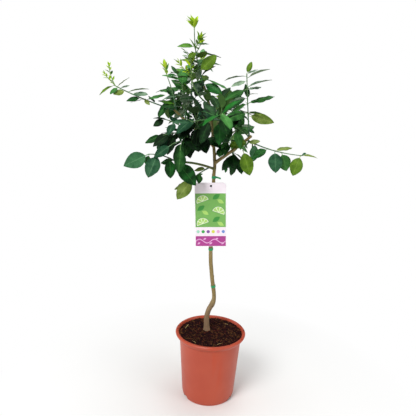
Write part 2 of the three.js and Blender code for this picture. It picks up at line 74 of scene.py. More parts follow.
def give(tree, socket, value):
    if isinstance(value, bpy.types.NodeSocket):
        tree.links.new(value, socket)
    else:
        socket.default_value = value


def addNode(tree, kind, inputs=None, output=0, **settings):
    # adds a node and gives back one of its outputs
    node = tree.nodes.new(kind)
    for name, value in settings.items():
        setattr(node, name, value)
    for key, value in (inputs or {}).items():
        give(tree, node.inputs[key], value)
    return node.outputs[output] if node.outputs else None


def maths(tree, operation, *values):
    return addNode(tree, "ShaderNodeMath", dict(enumerate(values)), operation=operation)


def mixed(tree, factor, first, second):
    # colour between two colours, each a web code or an output
    first, second = (linear(colour) if isinstance(colour, str) else colour for colour in (first, second))
    return addNode(tree, "ShaderNodeMix", {0: factor, 6: first, 7: second}, 2, data_type="RGBA")


def ranged(tree, value, low, high, fromLow=0.0, fromHigh=1.0):
    inputs = {"Value": value, "From Min": fromLow, "From Max": fromHigh, "To Min": low, "To Max": high}
    return addNode(tree, "ShaderNodeMapRange", inputs)


def noisy(tree, where, scale, detail=3.0, stretch=None):
    if stretch:
        where = addNode(tree, "ShaderNodeMapping", {"Vector": where, "Scale": stretch})
    return addNode(tree, "ShaderNodeTexNoise", {"Vector": where, "Scale": scale, "Detail": detail})


def carried(tree, name, output="Fac"):
    # value that the mesh carries as an attribute
    return addNode(tree, "ShaderNodeAttribute", None, output, attribute_name=name)


def newMaterial(name, shade):
    # shade(tree, where, shader) dresses the shader; where is the object's own coordinates
    paint = bpy.data.materials.new(name)
    paint.use_nodes = True
    tree = paint.node_tree
    shade(tree, addNode(tree, "ShaderNodeTexCoord", None, "Object"), tree.nodes["Principled BSDF"])
    return paint


def finish(tree, shader, colour, rough, bump=None, specular=None):
    # bump is a height with its distance and strength
    give(tree, shader.inputs["Base Color"], colour)
    give(tree, shader.inputs["Roughness"], rough)
    if specular is not None:
        shader.inputs["Specular IOR Level"].default_value = specular
    if bump:
        relief = addNode(tree, "ShaderNodeBump", dict(zip(("Height", "Distance", "Strength"), bump)))
        give(tree, shader.inputs["Normal"], relief)


def cloudy(dark, light, scale, detail, spread, rough, grain=None, specular=None):
    # finish of two mingled colours; grain is the bump's scale, detail, distance, strength and stretch
    def shade(tree, where, shader):
        cloud = ranged(tree, noisy(tree, where, scale, detail), 0, 1, *spread)
        bump = grain and (noisy(tree, where, *grain[:2], *grain[4:]), *grain[2:4])
        finish(tree, shader, mixed(tree, cloud, dark, light), rough, bump, specular)
    return shade


def named(tree, name, kind="FLOAT"):
    return addNode(tree, "GeometryNodeInputNamedAttribute", {"Name": name}, "Attribute", data_type=kind)


def scaledBy(tree, vector, factor):
    return addNode(tree, "ShaderNodeVectorMath", {0: vector, "Scale": factor}, operation="SCALE")


def placedOn(tree, points, thing, rotation, size, pick=None):
    # the thing at each point, or the picked one of a collection
    turn = addNode(tree, "FunctionNodeEulerToRotation", {0: rotation})
    inputs = {"Points": points, "Rotation": turn, "Scale": size}
    if pick:
        thing = addNode(tree, "GeometryNodeCollectionInfo", {"Collection": thing, "Separate Children": True,
                                                             "Reset Children": True})
        inputs.update({"Pick Instance": True, "Instance Index": pick})
    return addNode(tree, "GeometryNodeInstanceOnPoints", {**inputs, "Instance": thing})


def evaluated(thing):
    graph = bpy.context.evaluated_depsgraph_get()
    return bpy.data.meshes.new_from_object(thing.evaluated_get(graph), preserve_all_data_layers=True,
                                           depsgraph=graph)


def settle(thing, build, sizes, paints, forms=()):
    # runs a node tree on the object and keeps the result as its plain mesh; build(tree, given) lays the
    # nodes between its named inputs and the finish, and forms are the meshes that it places
    values = dict(sizes)
    if forms:
        values["Forms"] = bpy.data.collections.new("forms")
    for i, mesh in enumerate(forms):
        values["Forms"].objects.link(bpy.data.objects.new(f"form{i:02d}", mesh))
    tree = bpy.data.node_groups.new(build.__name__, "GeometryNodeTree")
    tree.interface.new_socket("Geometry", in_out="INPUT", socket_type="NodeSocketGeometry")
    kinds = {float: "NodeSocketFloat", int: "NodeSocketInt", bpy.types.Collection: "NodeSocketCollection"}
    sockets = {name: tree.interface.new_socket(name, in_out="INPUT", socket_type=kinds[type(value)])
               for name, value in values.items()}
    tree.interface.new_socket("Geometry", in_out="OUTPUT", socket_type="NodeSocketGeometry")
    built = build(tree, tree.nodes.new("NodeGroupInput").outputs)
    geometry = addNode(tree, "GeometryNodeRealizeInstances", {0: built})
    for number, paint in enumerate(paints):
        inputs = {"Geometry": geometry, "Material": paint}
        if len(paints) > 1:  # each on the faces of its tone
            same = {2: named(tree, "tone", "INT"), 3: number}
            chosen = addNode(tree, "FunctionNodeCompare", same, data_type="INT", operation="EQUAL")
            inputs["Selection"] = chosen
        geometry = addNode(tree, "GeometryNodeSetMaterial", inputs)
    addNode(tree, "NodeGroupOutput", {0: geometry})
    modifier = thing.modifiers.new(tree.name, "NODES")
    modifier.node_group = tree
    for name, socket in sockets.items():
        modifier[socket.identifier] = values[name]
    mesh = evaluated(thing)
    thing.modifiers.clear()
    thing.data = mesh
    if forms:
        for form in list(values["Forms"].objects):
            bpy.data.objects.remove(form)
        bpy.data.collections.remove(values["Forms"])


# Mesh helpers

def lerp(a, b, share):
    return a + (b - a) * share


def newMesh(name, corners, faces, edges=(), smooth=True, size=mm):
    mesh = bpy.data.meshes.new(name)
    mesh.from_pydata([tuple(part * size for part in corner) for corner in corners], list(edges), faces)
    mesh.polygons.foreach_set("use_smooth", [smooth] * len(mesh.polygons))
    mesh.update()
    return mesh


def facingOut(mesh, near=1e-6):
    body = bmesh.new()
    body.from_mesh(mesh)
    bmesh.ops.remove_doubles(body, verts=body.verts, dist=near)
    bmesh.ops.recalc_face_normals(body, faces=body.faces)
    body.to_mesh(mesh)
    body.free()
    return mesh


class Shape:
    # corners and faces gathered from several bodies
    def __init__(self):
        self.corners, self.faces = [], []

    def add(self, corners, faces):
        first = len(self.corners)
        self.corners += [Vector(corner) for corner in corners]
        self.faces += [[first + i for i in face] for face in faces]

    def mesh(self, name):
        return facingOut(newMesh(name, self.corners, self.faces))


def newObject(name, data):
    thing = bpy.data.objects.new(name, data)
    bpy.context.scene.collection.objects.link(thing)
    return thing


def newPiece(name, mesh, paints=None):
    # paints holds the shade of each material by its name
    for paint, shade in (paints or {}).items():
        mesh.materials.append(newMaterial(paint, shade))
    return newObject(name, mesh)


def carry(mesh, name, values, domain="POINT"):
    # stores a value for each corner or face under a name
    kind = {int: "INT", float: "FLOAT"}.get(type(values[0]), "FLOAT_VECTOR")
    if kind == "FLOAT_VECTOR":
        values = [part for value in values for part in value]
    field = mesh.attributes.new(name, kind, domain)
    field.data.foreach_set("vector" if kind == "FLOAT_VECTOR" else "value", list(values))


def keep(piece, nodes, sharpAt=None):
    if sharpAt:
        piece.data.set_sharp_from_angle(angle=math.radians(sharpAt))
    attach(piece, "root")
    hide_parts(*nodes)
    print(piece.name, "made,", len(piece.data.polygons), "faces")


def around(sides):
    return [2 * math.pi * i / sides for i in range(sides)]


def arc(x, y, radius, start, end, steps=10):
    angles = [math.radians(lerp(start, end, i / steps)) for i in range(steps + 1)]
    return [(x + radius * math.cos(a), y + radius * math.sin(a)) for a in angles]


def quads(rings, count, closed=False):
    # faces between rings of corners, and from the last ring to the first if it is closed
    faces = []
    for ring in range(rings if closed else rings - 1):
        a, b = ring * count, (ring + 1) % rings * count
        faces += [(a + i, a + (i + 1) % count, b + (i + 1) % count, b + i) for i in range(count)]
    return faces


def capped(corners, count):
    # closed body of rings of corners
    ends = [tuple(reversed(range(count))), tuple(range(len(corners) - count, len(corners)))]
    return corners, quads(len(corners) // count, count) + ends


def plate(front, back):
    # closed body between two outlines
    count = len(front)
    sides = [((i + 1) % count, i, count + i, count + (i + 1) % count) for i in range(count)]
    return front + back, [range(count), range(2 * count - 1, count - 1, -1)] + sides


def rounded(outline, radius, steps=3):
    # outline of (height, radius) points with its inner corners turned into short arcs
    points = [Vector(point) for point in outline]
    result = [points[0]]
    for before, corner, after in zip(points, points[1:], points[2:]):
        reach = min(radius, (before - corner).length * 0.4, (after - corner).length * 0.4)
        start = corner + (before - corner).normalized() * reach
        end = corner + (after - corner).normalized() * reach
        for i in range(steps + 1):
            t = i / steps
            result.append(start * (1 - t) ** 2 + corner * 2 * t * (1 - t) + end * t * t)
    return result + [points[-1]]


def turned(outline, sides):
    # solid of revolution; its outline of (height, radius) points starts and ends on the axis
    rings = outline[1:-1]
    corners = [(0, 0, outline[0][0])]
    corners += [(r * math.cos(a), r * math.sin(a), z) for z, r in rings for a in around(sides)]
    corners.append((0, 0, outline[-1][0]))
    last = len(corners) - 1
    faces = []
    for i in range(sides):
        j = (i + 1) % sides
        faces.append((0, 1 + j, 1 + i))
        for a in range(1, last - sides, sides):
            faces.append((a + i, a + j, a + sides + j, a + sides + i))
        faces.append((last, last - sides + i, last - sides + j))
    return corners, faces


def framed(spots):
    # tangent, side and other side at each spot of a path, with no needless twist
    frames, side = [], None
    for before, after in zip(spots[:1] + spots[:-1], spots[1:] + spots[-1:]):
        ahead = (after - before).normalized()
        if side is None:
            side = ahead.orthogonal().normalized()
        side = (side - ahead * side.dot(ahead)).normalized()
        frames.append((ahead, side, ahead.cross(side)))
    return frames


def tubeAround(spots, radiusAt, sides):
    # closed tube; radiusAt(ring, angle) gives each corner's distance
    corners = []
    for ring, (spot, (ahead, side, other)) in enumerate(zip(spots, framed(spots))):
        for angle in around(sides):
            reach = radiusAt(ring, angle)
            corners.append(spot + side * (math.cos(angle) * reach) + other * (math.sin(angle) * reach))
    return capped(corners, sides)


def rod(spots, radius, sides):
    return tubeAround(spots, lambda ring, angle: radius, sides)


# Camera and studio

studio = {
    "camera": (-0.022, -1.2, 0.82), "down": 13.6, "roll": 2.6, "lens": 41.71, "sensor": 36,
    "floor": 6.0, "floorColours": ("#f0f0ee", "#f4f4f2"), "floorFade": (0.12, 0.6),
    "backdrop": 1.0, "sky": 0.22,
    "lamps": {  # place, what it looks at, size and power
        "keyLamp": ((-0.9, -1.5, 1.9), (0, 0, 0.6), 1.1, 42),
        "fillLamp": ((1.5, -0.9, 0.9), (0, 0, 0.5), 1.0, 9),
        "edgeLamp": ((-1.5, 0.1, 0.35), (0, 0, 0.1), 0.7, 3.5),
        "topLamp": ((0.1, 0.3, 2.3), (0, 0, 0.7), 1.2, 22),
    },
}


def makeCamera():
    lens = bpy.data.cameras.new("camera")
    lens.sensor_width = studio["sensor"]
    lens.lens = studio["lens"]
    camera = newObject("camera", lens)
    turn = Matrix.Rotation(math.radians(90 - studio["down"]), 4, "X")
    roll = Matrix.Rotation(math.radians(studio["roll"]), 4, "Z")
    camera.matrix_world = Matrix.Translation(studio["camera"]) @ turn @ roll
    bpy.context.scene.camera = camera


def makeLamps():
    for name, (place, target, size, power) in studio["lamps"].items():
        lamp = bpy.data.lights.new(name, "AREA")
        lamp.shape = "DISK"
        lamp.size = size
        lamp.energy = power
        thing = newObject(name, lamp)
        thing.location = place
        thing.rotation_euler = (Vector(target) - Vector(place)).to_track_quat("-Z", "Y").to_euler()
    world = bpy.data.worlds.new("studio")
    world.use_nodes = True
    bpy.context.scene.world = world
    tree = world.node_tree
    tree.nodes.clear()
    sky = addNode(tree, "ShaderNodeBackground", {"Color": white, "Strength": studio["sky"]})
    seen = addNode(tree, "ShaderNodeBackground", {"Color": white, "Strength": studio["backdrop"]})
    ray = addNode(tree, "ShaderNodeLightPath", None, "Is Camera Ray")
    mix = addNode(tree, "ShaderNodeMixShader", {0: ray, 1: sky, 2: seen})
    addNode(tree, "ShaderNodeOutputWorld", {"Surface": mix})
    bpy.context.scene.view_settings.view_transform = "Standard"


def floorSkin(tree, where, shader):
    # away from the pot the floor runs into the white backdrop
    finish(tree, shader, mixed(tree, noisy(tree, where, 2.0, 2.0), *studio["floorColours"]), 0.9)
    reach = addNode(tree, "ShaderNodeVectorMath", {0: where}, "Value", operation="LENGTH")
    seen = addNode(tree, "ShaderNodeLightPath", None, "Is Camera Ray")
    share = maths(tree, "MULTIPLY", ranged(tree, reach, 0, 1, *studio["floorFade"]), seen)
    glow = addNode(tree, "ShaderNodeEmission", {"Color": white, "Strength": studio["backdrop"]})
    mix = addNode(tree, "ShaderNodeMixShader", {0: share, 1: shader.outputs[0], 2: glow})
    give(tree, tree.nodes["Material Output"].inputs["Surface"], mix)


def makeFloor():
    half = studio["floor"] / 2
    corners = [(-half, -half, 0), (half, -half, 0), (half, half, 0), (-half, half, 0)]
    floor = newPiece("floor", newMesh("floor", corners, [(0, 1, 2, 3)], size=1), {"floor": floorSkin})
    print("studio made")


# Pot

pot = {
    "outside": [(0, 0), (0, 67.4), (1.5, 68.8), (12, 71.7), (168, 83), (171, 84.5), (176, 91), (181, 94.4),
                (184, 95), (187, 92.5)],
    "inside": [(187, 87.6), (184, 86.4), (167, 81.4), (12.5, 70.2), (11, 69.4), (11, 0)],
    "sides": 192, "edge": 0.9, "sharpAt": 38,
    "notches": 3, "notchAt": -60, "notchWidth": 19, "notchHeight": 9.5, "notchReach": (54, 76),
    "colours": ("#b0462f", "#bc5238", "#bd421c"),
}


def potPlastic(tree, where, shader):
    dark, light, warm = pot["colours"]
    base = mixed(tree, ranged(tree, noisy(tree, where, 9.0, 3.0), 0, 1, 0.3, 0.7), dark, light)
    streak = ranged(tree, noisy(tree, where, 1.0, 4.0, (34, 34, 3.5)), 0, 0.55, 0.56, 0.74)
    rough = ranged(tree, noisy(tree, where, 60.0, 2.0), 0.36, 0.48)
    grain = noisy(tree, where, 900.0, 2.0)
    finish(tree, shader, mixed(tree, streak, base, warm), rough, (grain, 0.00012, 0.35), 0.4)


def makePot():
    corners, faces = turned(rounded(pot["outside"] + pot["inside"], pot["edge"]), pot["sides"])
    shell = newPiece("potShell", newMesh("potShell", corners, faces), {"pot plastic": potPlastic})
    half = pot["notchWidth"] / 2
    arch = [(-half, -1), (half, -1)] + arc(0, pot["notchHeight"] - half, half, 0, 180, 12)
    notches = Shape()
    for number in range(pot["notches"]):
        turn = Matrix.Rotation(math.radians(pot["notchAt"] + 360 * number / pot["notches"]), 3, "Z")
        near, far = ([turn @ Vector((x, -depth, z)) for x, z in arch] for depth in pot["notchReach"])
        notches.add(*plate(near, far))
    cutter = newPiece("notchCutter", notches.mesh("notchCutter"))
    cut = shell.modifiers.new("notches", "BOOLEAN")
    cut.object = cutter
    cut.solver = "EXACT"
    mesh = evaluated(shell)
    shell.modifiers.clear()
    shell.data = mesh
    bpy.data.objects.remove(cutter)
    keep(shell, ["pot"], pot["sharpAt"])


# Compost

compost = {
    "bottom": 11.4, "top": 181.4, "wall": [(11.4, 69.1), (12.5, 69.8), (167, 81.0)], "edge": 85.2,
    "rings": 62, "sides": 150, "lumps": 3.2, "lumpScale": 95.0, "lumpReach": 0.985,
    "chipsPerArea": 115000.0, "seed": 7, "chipSize": (0.45, 1.25), "chipTilt": 0.45, "chipRarity": 1.9,
    "chipSeeds": (3, 5, 9),  # of their tilt, size and shape
    "chips": [  # length, width, thickness, bend, and tone
        (6.5, 4.2, 1.5, 0.3, 0), (4.6, 3.4, 2.2, 0.1, 0), (3.4, 2.8, 2.4, 0.0, 1), (7.5, 3.0, 1.2, 0.5, 1),
        (3.0, 2.2, 1.8, 0.0, 2), (5.2, 3.2, 1.0, 0.2, 2), (11.0, 0.8, 0.7, 2.0, 3), (8.0, 1.1, 0.8, 1.2, 3),
    ],
    "paints": {"compost dark": ("#0f0305", "#280c0f", 0.95), "chip brown": ("#20090a", "#431814", 0.9),
               "chip tan": ("#3d170e", "#703720", 0.85), "fibre": ("#4a2717", "#8a6236", 0.8)},
}


def crumbColour(dark, light, rough):
    return cloudy(dark, light, 260.0, 4.0, (0.35, 0.68), rough, (900.0, 4.0, 0.0006, 0.7), 0.12)


def chipBody(number, length, width, thick, bend):
    # irregular flake: rings of six corners along its length
    steps = 3 if length < 6 else 4
    corners = []
    for step in range(steps + 1):
        t = step / steps
        swell = math.sin(math.pi * (0.16 + 0.68 * t))
        for i, angle in enumerate(around(6)):
            rough = swell * (1 + 0.35 * noise.noise(Vector((number * 5.1, step * 1.7, i * 2.3))))
            corners.append(((t - 0.5) * length, width / 2 * rough * math.cos(angle),
                            thick / 2 * rough * math.sin(angle) + bend * math.sin(math.pi * t)))
    return capped(corners, 6)


def chipMesh(number, length, width, thick, bend, tone):
    corners, faces = chipBody(number, length, width, thick, bend)
    mesh = facingOut(newMesh("chip", corners, faces, smooth=False))
    carry(mesh, "tone", [tone] * len(mesh.polygons), "FACE")
    return mesh


def compostBed(tree, given):
    bed = named(tree, "bed")
    coarse = noisy(tree, addNode(tree, "GeometryNodeInputPosition"), given["Lump scale"], 5.0)
    lift = maths(tree, "MULTIPLY", maths(tree, "SUBTRACT", coarse, 0.5), given["Lump height"])
    lift = maths(tree, "MULTIPLY", lift, maths(tree, "MULTIPLY", bed, 2.0))
    rise = addNode(tree, "ShaderNodeCombineXYZ", {"Z": lift})
    ground = addNode(tree, "GeometryNodeSetPosition", {"Geometry": given["Geometry"], "Offset": rise})
    within = maths(tree, "GREATER_THAN", bed, 0.9)
    spots = addNode(tree, "GeometryNodeDistributePointsOnFaces", {
        "Mesh": ground, "Selection": within, "Density": given["Chips per area"], "Seed": given["Seed"]})
    tiltSeed, sizeSeed, drawSeed = compost["chipSeeds"]
    lean = compost["chipTilt"]
    turns = {0: (-lean, -lean, 0), 1: (lean, lean, 6.283), "Seed": tiltSeed}
    tilt = addNode(tree, "FunctionNodeRandomValue", turns, data_type="FLOAT_VECTOR")
    small, large = compost["chipSize"]
    size, draw = (
        addNode(tree, "FunctionNodeRandomValue", {2: low, 3: high, "Seed": seed}, 1, data_type="FLOAT")
        for low, high, seed in ((small, large, sizeSeed), (0.0, 1.0, drawSeed)))
    rare = maths(tree, "POWER", draw, compost["chipRarity"])
    pick = maths(tree, "MULTIPLY", rare, float(len(compost["chips"])))
    chips = placedOn(tree, spots, given["Forms"], tilt, size, maths(tree, "FLOOR", pick))
    whole = addNode(tree, "GeometryNodeRealizeInstances", {0: chips})
    joined = addNode(tree, "GeometryNodeJoinGeometry", {0: whole})
    tree.links.new(ground, joined.node.inputs[0])
    return joined


def makeCompost():
    rings, top = compost["rings"], compost["top"]
    outline = [(compost["bottom"], 0)] + compost["wall"]
    outline += [(top, compost["edge"] * (rings - i) / rings) for i in range(rings + 1)]
    mesh = newMesh("compost", *turned(outline, compost["sides"]))
    edge, flat = compost["edge"] * compost["lumpReach"] * mm, top * mm - 1e-5
    carry(mesh, "bed", [float(v.co.z > flat and v.co.xy.length < edge) for v in mesh.vertices])
    carry(mesh, "tone", [0] * len(mesh.polygons), "FACE")
    bed = newPiece("compost", mesh)
    paints = [newMaterial(name, crumbColour(*look)) for name, look in compost["paints"].items()]
    sizes = {"Lump height": compost["lumps"] * mm, "Lump scale": compost["lumpScale"],
             "Chips per area": compost["chipsPerArea"], "Seed": compost["seed"]}
    settle(bed, compostBed, sizes, paints, [chipMesh(i, *chip) for i, chip in enumerate(compost["chips"])])
    keep(bed, ["soil"])


# Pale straws on the compost and crumbs that lie on the rim

litter = {
    "straws": [((-68.5, 9, 185.2), (-61.5, 26, 188.4), 1.0), ((18, -71, 184.8), (29, -66, 186.2), 0.6),
               ((40, 46, 184.6), (49, 39, 185.8), 0.6), ((-38, -66, 184.8), (-47, -60, 186), 0.6)],
    "strawRadius": 0.85, "strawTaper": 0.05, "strawBow": 0.9, "crumbs": 17, "crumbAt": (88.2, 91.4),
    "crumbSpread": (-0.1, 0.45), "crumbHeight": 187.5, "crumbLength": (1.6, 3.4),
    "crumbWidth": (1.4, 2.4), "crumbThick": 1.3, "seed": 4,
    "straw": ("#a8905a", "#d0bc84", 0.7), "crumb": ("#1c0a08", "#43211a", 0.95),
}


def makeLitter():
    shape = Shape()
    for start, end, thick in litter["straws"]:
        start, end = Vector(start), Vector(end)
        bows = [litter["strawBow"] * math.sin(math.pi * t / 6) for t in range(7)]
        spots = [start.lerp(end, t / 6) + Vector((0, 0, bow)) for t, bow in enumerate(bows)]
        radius = litter["strawRadius"] * thick
        shape.add(*tubeAround(spots, lambda ring, angle: radius * (1 - litter["strawTaper"] * ring), 7))
    straws = len(shape.faces)
    chance = random.Random(litter["seed"])
    for number in range(litter["crumbs"]):
        length, width = chance.uniform(*litter["crumbLength"]), chance.uniform(*litter["crumbWidth"])
        corners, faces = chipBody(number, length, width, litter["crumbThick"], 0.0)
        angle = (0.0 if number % 2 else math.pi) + chance.gauss(*litter["crumbSpread"])
        reach = chance.uniform(*litter["crumbAt"])
        place = Vector((reach * math.cos(angle), reach * math.sin(angle), litter["crumbHeight"]))
        turn = Matrix.Rotation(chance.uniform(0, 6.3), 3, "Z")
        shape.add([place + turn @ Vector(corner) for corner in corners], faces)
    paints = {name: crumbColour(*litter[name]) for name in ("straw", "crumb")}
    thing = newPiece("litter", shape.mesh("litter"), paints)
    for number, face in enumerate(thing.data.polygons):
        face.material_index = 0 if number < straws else 1
    keep(thing, ["soil"])


# Trunk and boughs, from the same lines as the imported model

class Line:
    # smooth line: point(t) by its own measure, even(share) by share of its length
    parts = 200

    def __init__(self, point):
        self.point = point
        self.reach = [0.0]
        spots = [point(i / self.parts) for i in range(self.parts + 1)]
        for a, b in zip(spots, spots[1:]):
            self.reach.append(self.reach[-1] + (b - a).length)

    def even(self, share):
        target = share * self.reach[-1]
        i = min(max(bisect.bisect_right(self.reach, target), 1), self.parts)
        part = (target - self.reach[i - 1]) / (self.reach[i] - self.reach[i - 1])
        return self.point((i - 1 + part) / self.parts)

    def ahead(self, t):
        return (self.point(min(t + 0.001, 1)) - self.point(max(t - 0.001, 0))).normalized()


def through(points):
    # line through all points
    points = [Vector(point) for point in points]
    last = len(points) - 1

    def point(t):
        i = min(int(t * last), last - 1)
        w = t * last - i
        a, b = points[i], points[i + 1]
        before = points[i - 1] if i > 0 else a * 2 - b
        after = points[i + 2] if i + 2 <= last else b * 2 - a
        leave, arrive = (b - before) / 2, (after - a) / 2
        return (a + leave * w + (b * 3 - a * 3 - leave * 2 - arrive) * w * w
                + (a * 2 - b * 2 + leave + arrive) * w * w * w)
    return Line(point)


def bowed(start, tip, bow):
    middle = (start + tip) / 2 + Vector(bow)
    return Line(lambda t: start * (1 - t) * (1 - t) + middle * 2 * t * (1 - t) + tip * t * t)


def listed(pairs, place):
    # value between listed (place, value) pairs
    i = min(max(bisect.bisect_left([pair[0] for pair in pairs], place), 1), len(pairs) - 1)
    (a, first), (b, last) = pairs[i - 1], pairs[i]
    return first + (last - first) * (place - a) / (b - a)


trunk = {
    "route": [(-10, 14, 180.3), (-12, 14, 215), (-8, 13, 240), (5, 9, 278), (-4, 4, 347), (-10, 0, 420),
              (-11, 0, 600), (-11, 0, 655), (-25, 0, 766)],
    "radius": [(0, 9.6), (0.02, 7.8), (0.08, 7), (0.13, 6.6), (0.17, 5.4), (0.45, 5), (0.75, 4.2), (1, 3.3)],
    "age": [(180, 0), (250, 0.04), (285, 0.34), (600, 0.42), (770, 0.62)],
    "relief": [(180, 0.85), (245, 0.85), (285, 0.32), (800, 0.32)],
    "sides": 40, "ring": 1.5, "sunk": 3, "flare": 0.1, "flareLobes": 5, "flareReach": 14,
    "graft": 262, "graftSwell": 1.1, "graftReach": 9, "budEvery": 31, "budPlay": 0.2, "firstBud": 3,
    "scar": 0.85, "scarReach": 2.6, "scarLimit": 9, "grainPull": 0.15,
    "barkStops": [(0.0, "#8a6e54"), (1.0, "#3f5a2a"), (0.2, "#88734c"), (0.4, "#84713f"), (0.62, "#63602f")],
    "barkLight": "#a8946a", "barkCrack": "#463722", "sizes": {"Ridge scale": 0.42, "Relief": 1.0},
}
boughs = {  # place on the trunk, tip, bow, radii, age of the bark at both ends
    "bough_leader": (1, (-45, -2, 832), (3, 0, 0), (3.2, 2.8), (0.62, 0.95)),
    "bough_right": (0.797, (69, -35, 716), (0, 4, -4), (4.2, 3.4), (0.38, 0.42)),
    "bough_left": (0.868, (-113, -34, 774), (0, 3, -3), (3.6, 2.8), (0.42, 0.55)),
    "bough_low_left": (0.77, (-99, -60, 652), (-8, 0, 12), (3, 2.5), (0.75, 1.0)),
    "bough_front": (0.91, (-4, -78, 752), (-4, 0, -14), (2.9, 2.5), (0.6, 0.95)),
    "bough_back_left": (0.94, (-60, 48, 792), (2, 0, -8), (2.9, 2.5), (0.6, 0.95)),
    "bough_back": (0.89, (-4, 60, 756), (-2, 0, -10), (3, 2.5), (0.6, 0.95)),
    "bough_back_right": (0.83, (22, 50, 694), (0, 2, -6), (2.8, 2.5), (0.6, 0.95)),
}
boughLook = {"sides": 22, "ring": 1.4, "relief": 0.22, "collar": 0.55, "collarReach": 5, "stub": 7}

limbs = {"trunk": through(trunk["route"])}
for name, (at, tip, bow, radii, ages) in boughs.items():
    limbs[name] = bowed(limbs["trunk"].even(at), Vector(tip), bow)


def barkSkin(tree, where, shader):
    grain = carried(tree, "grain", "Vector")
    streak = ranged(tree, noisy(tree, grain, 0.7, 5.0), 0.42, 0, 0.28, 0.5)
    patch = ranged(tree, noisy(tree, grain, 0.13, 3.0), 0, 0.5, 0.45, 0.7)
    ramp = addNode(tree, "ShaderNodeValToRGB", {"Fac": carried(tree, "age")})
    stops = ramp.node.color_ramp.elements
    for i, (place, code) in enumerate(trunk["barkStops"]):  # both ends first
        stop = stops[-i] if i < 2 else stops.new(place)
        stop.color = linear(code)
    lightened = mixed(tree, patch, ramp, trunk["barkLight"])
    finish(tree, shader, mixed(tree, streak, lightened, trunk["barkCrack"]), 0.82,
           (noisy(tree, grain, 2.2, 5.0), 0.0005, 0.6))


def barkRelief(tree, given):
    grain = named(tree, "grain", "FLOAT_VECTOR")
    ridge, crack = (maths(tree, "SUBTRACT", noisy(tree, grain, scale, 2.0), 0.5)
                    for scale in (given["Ridge scale"], maths(tree, "MULTIPLY", given["Ridge scale"], 3.1)))
    height = maths(tree, "ADD", maths(tree, "MULTIPLY", ridge, 2.0), crack)
    depth = maths(tree, "MULTIPLY", named(tree, "relief"), given["Relief"])
    push = scaledBy(tree, addNode(tree, "GeometryNodeInputNormal"), maths(tree, "MULTIPLY", height, depth))
    return addNode(tree, "GeometryNodeSetPosition", {"Geometry": given["Geometry"], "Offset": push})


def makeBark():
    shape = Shape()
    grains, ages, reliefs = [], [], []

    def addLimb(spots, sides, radiusAt, ageAt, reliefAt, length):
        first = len(shape.corners)
        shape.add(*tubeAround(spots, radiusAt, sides))
        for ring, spot in enumerate(spots):
            along, mean = ring / (len(spots) - 1), radiusAt(ring, 0)
            far = trunk["grainPull"] * along * length + first * 0.01
            grains.extend((mean * math.cos(angle), mean * math.sin(angle), far) for angle in around(sides))
            ages.extend([float(ageAt(along, spot))] * sides)
            reliefs.extend([reliefAt(spot) * mm] * sides)

    line = limbs["trunk"]
    length = line.reach[-1]
    count = int(length / trunk["ring"])
    spots = [line.even(0) - Vector((0, 0, trunk["sunk"]))] + [line.even(i / count) for i in range(count + 1)]
    every = trunk["budEvery"]
    play = trunk["budPlay"]
    scars = [(k * every * (1 + play * noise.noise(Vector((k, 0.5, 0.5)))), math.radians(k * goldenTurn))
             for k in range(trunk["firstBud"], int(length / every))]

    def trunkRadius(ring, angle):
        share = max(ring - 1, 0) / count
        travelled = share * length
        radius = listed(trunk["radius"], share)
        lobes = math.cos(trunk["flareLobes"] * angle + 0.6)
        radius *= 1 + trunk["flare"] * lobes * math.exp(-travelled / trunk["flareReach"])
        swell = (spots[ring].z - trunk["graft"]) / trunk["graftReach"]
        radius += trunk["graftSwell"] * math.exp(-swell ** 2)
        for place, turn in scars:
            near = math.cos(angle - turn)
            if abs(travelled - place) < trunk["scarLimit"] and near > 0:
                far = (travelled - place) / trunk["scarReach"]
                radius += trunk["scar"] * math.exp(-far ** 2) * near ** 6
        return radius

    addLimb(spots, trunk["sides"], trunkRadius, lambda along, spot: listed(trunk["age"], max(spot.z, 180)),
            lambda spot: listed(trunk["relief"], max(spot.z, 180)), length)
    for name, (at, tip, bow, radii, span) in boughs.items():
        line = limbs[name]
        length = line.reach[-1]
        count = int(length / boughLook["ring"])
        spots = [line.even(i / count) for i in range(count + 1)]
        if name == "bough_right":  # cut stub past the last shoot
            spots += [spots[-1] + line.ahead(1) * (step * boughLook["stub"] / 4) for step in range(1, 5)]
        joint = 0.0 if name == "bough_leader" else boughLook["collar"]

        def boughRadius(ring, angle):
            share = min(ring / count, 1)
            return lerp(*radii, share) * (1 + joint * math.exp(-share * length / boughLook["collarReach"]))

        addLimb(spots, boughLook["sides"], boughRadius, lambda along, spot: lerp(*span, along),
                lambda spot: boughLook["relief"], length)
    mesh = newMesh("bark", shape.corners, shape.faces)
    carry(mesh, "grain", grains)
    carry(mesh, "age", ages)
    carry(mesh, "relief", reliefs)
    bark = newPiece("bark", mesh)
    settle(bark, barkRelief, trunk["sizes"], [newMaterial("bark", barkSkin)])
    keep(bark, ["trunk", *boughs], 60)


# Shoots and leaves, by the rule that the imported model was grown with

def shoot(name, on, at, tip, bow, look, **rest):
    # look: the leaves' tone, another tone and its share, young leaves at the tip, share of buds grown out
    usual = dict(leaves=0, blade=50, turn=0, step=goldenTurn, open=60, droop=0.3, young=1, bare=0.16,
                 last=0.97, width=1, stem=1, facing=0, crowd=False, shown=(), tones="")
    return {**usual, **rest, "name": name, "on": on, "at": at, "tip": tip, "bow": bow, "look": look}


def tuft(*place, **rest):
    # young shoot with small leaves crowded on it
    return shoot(*place, **{**dict(crowd=True, width=0.56, stem=0.6, bare=0.2, droop=-0.1, open=42), **rest})


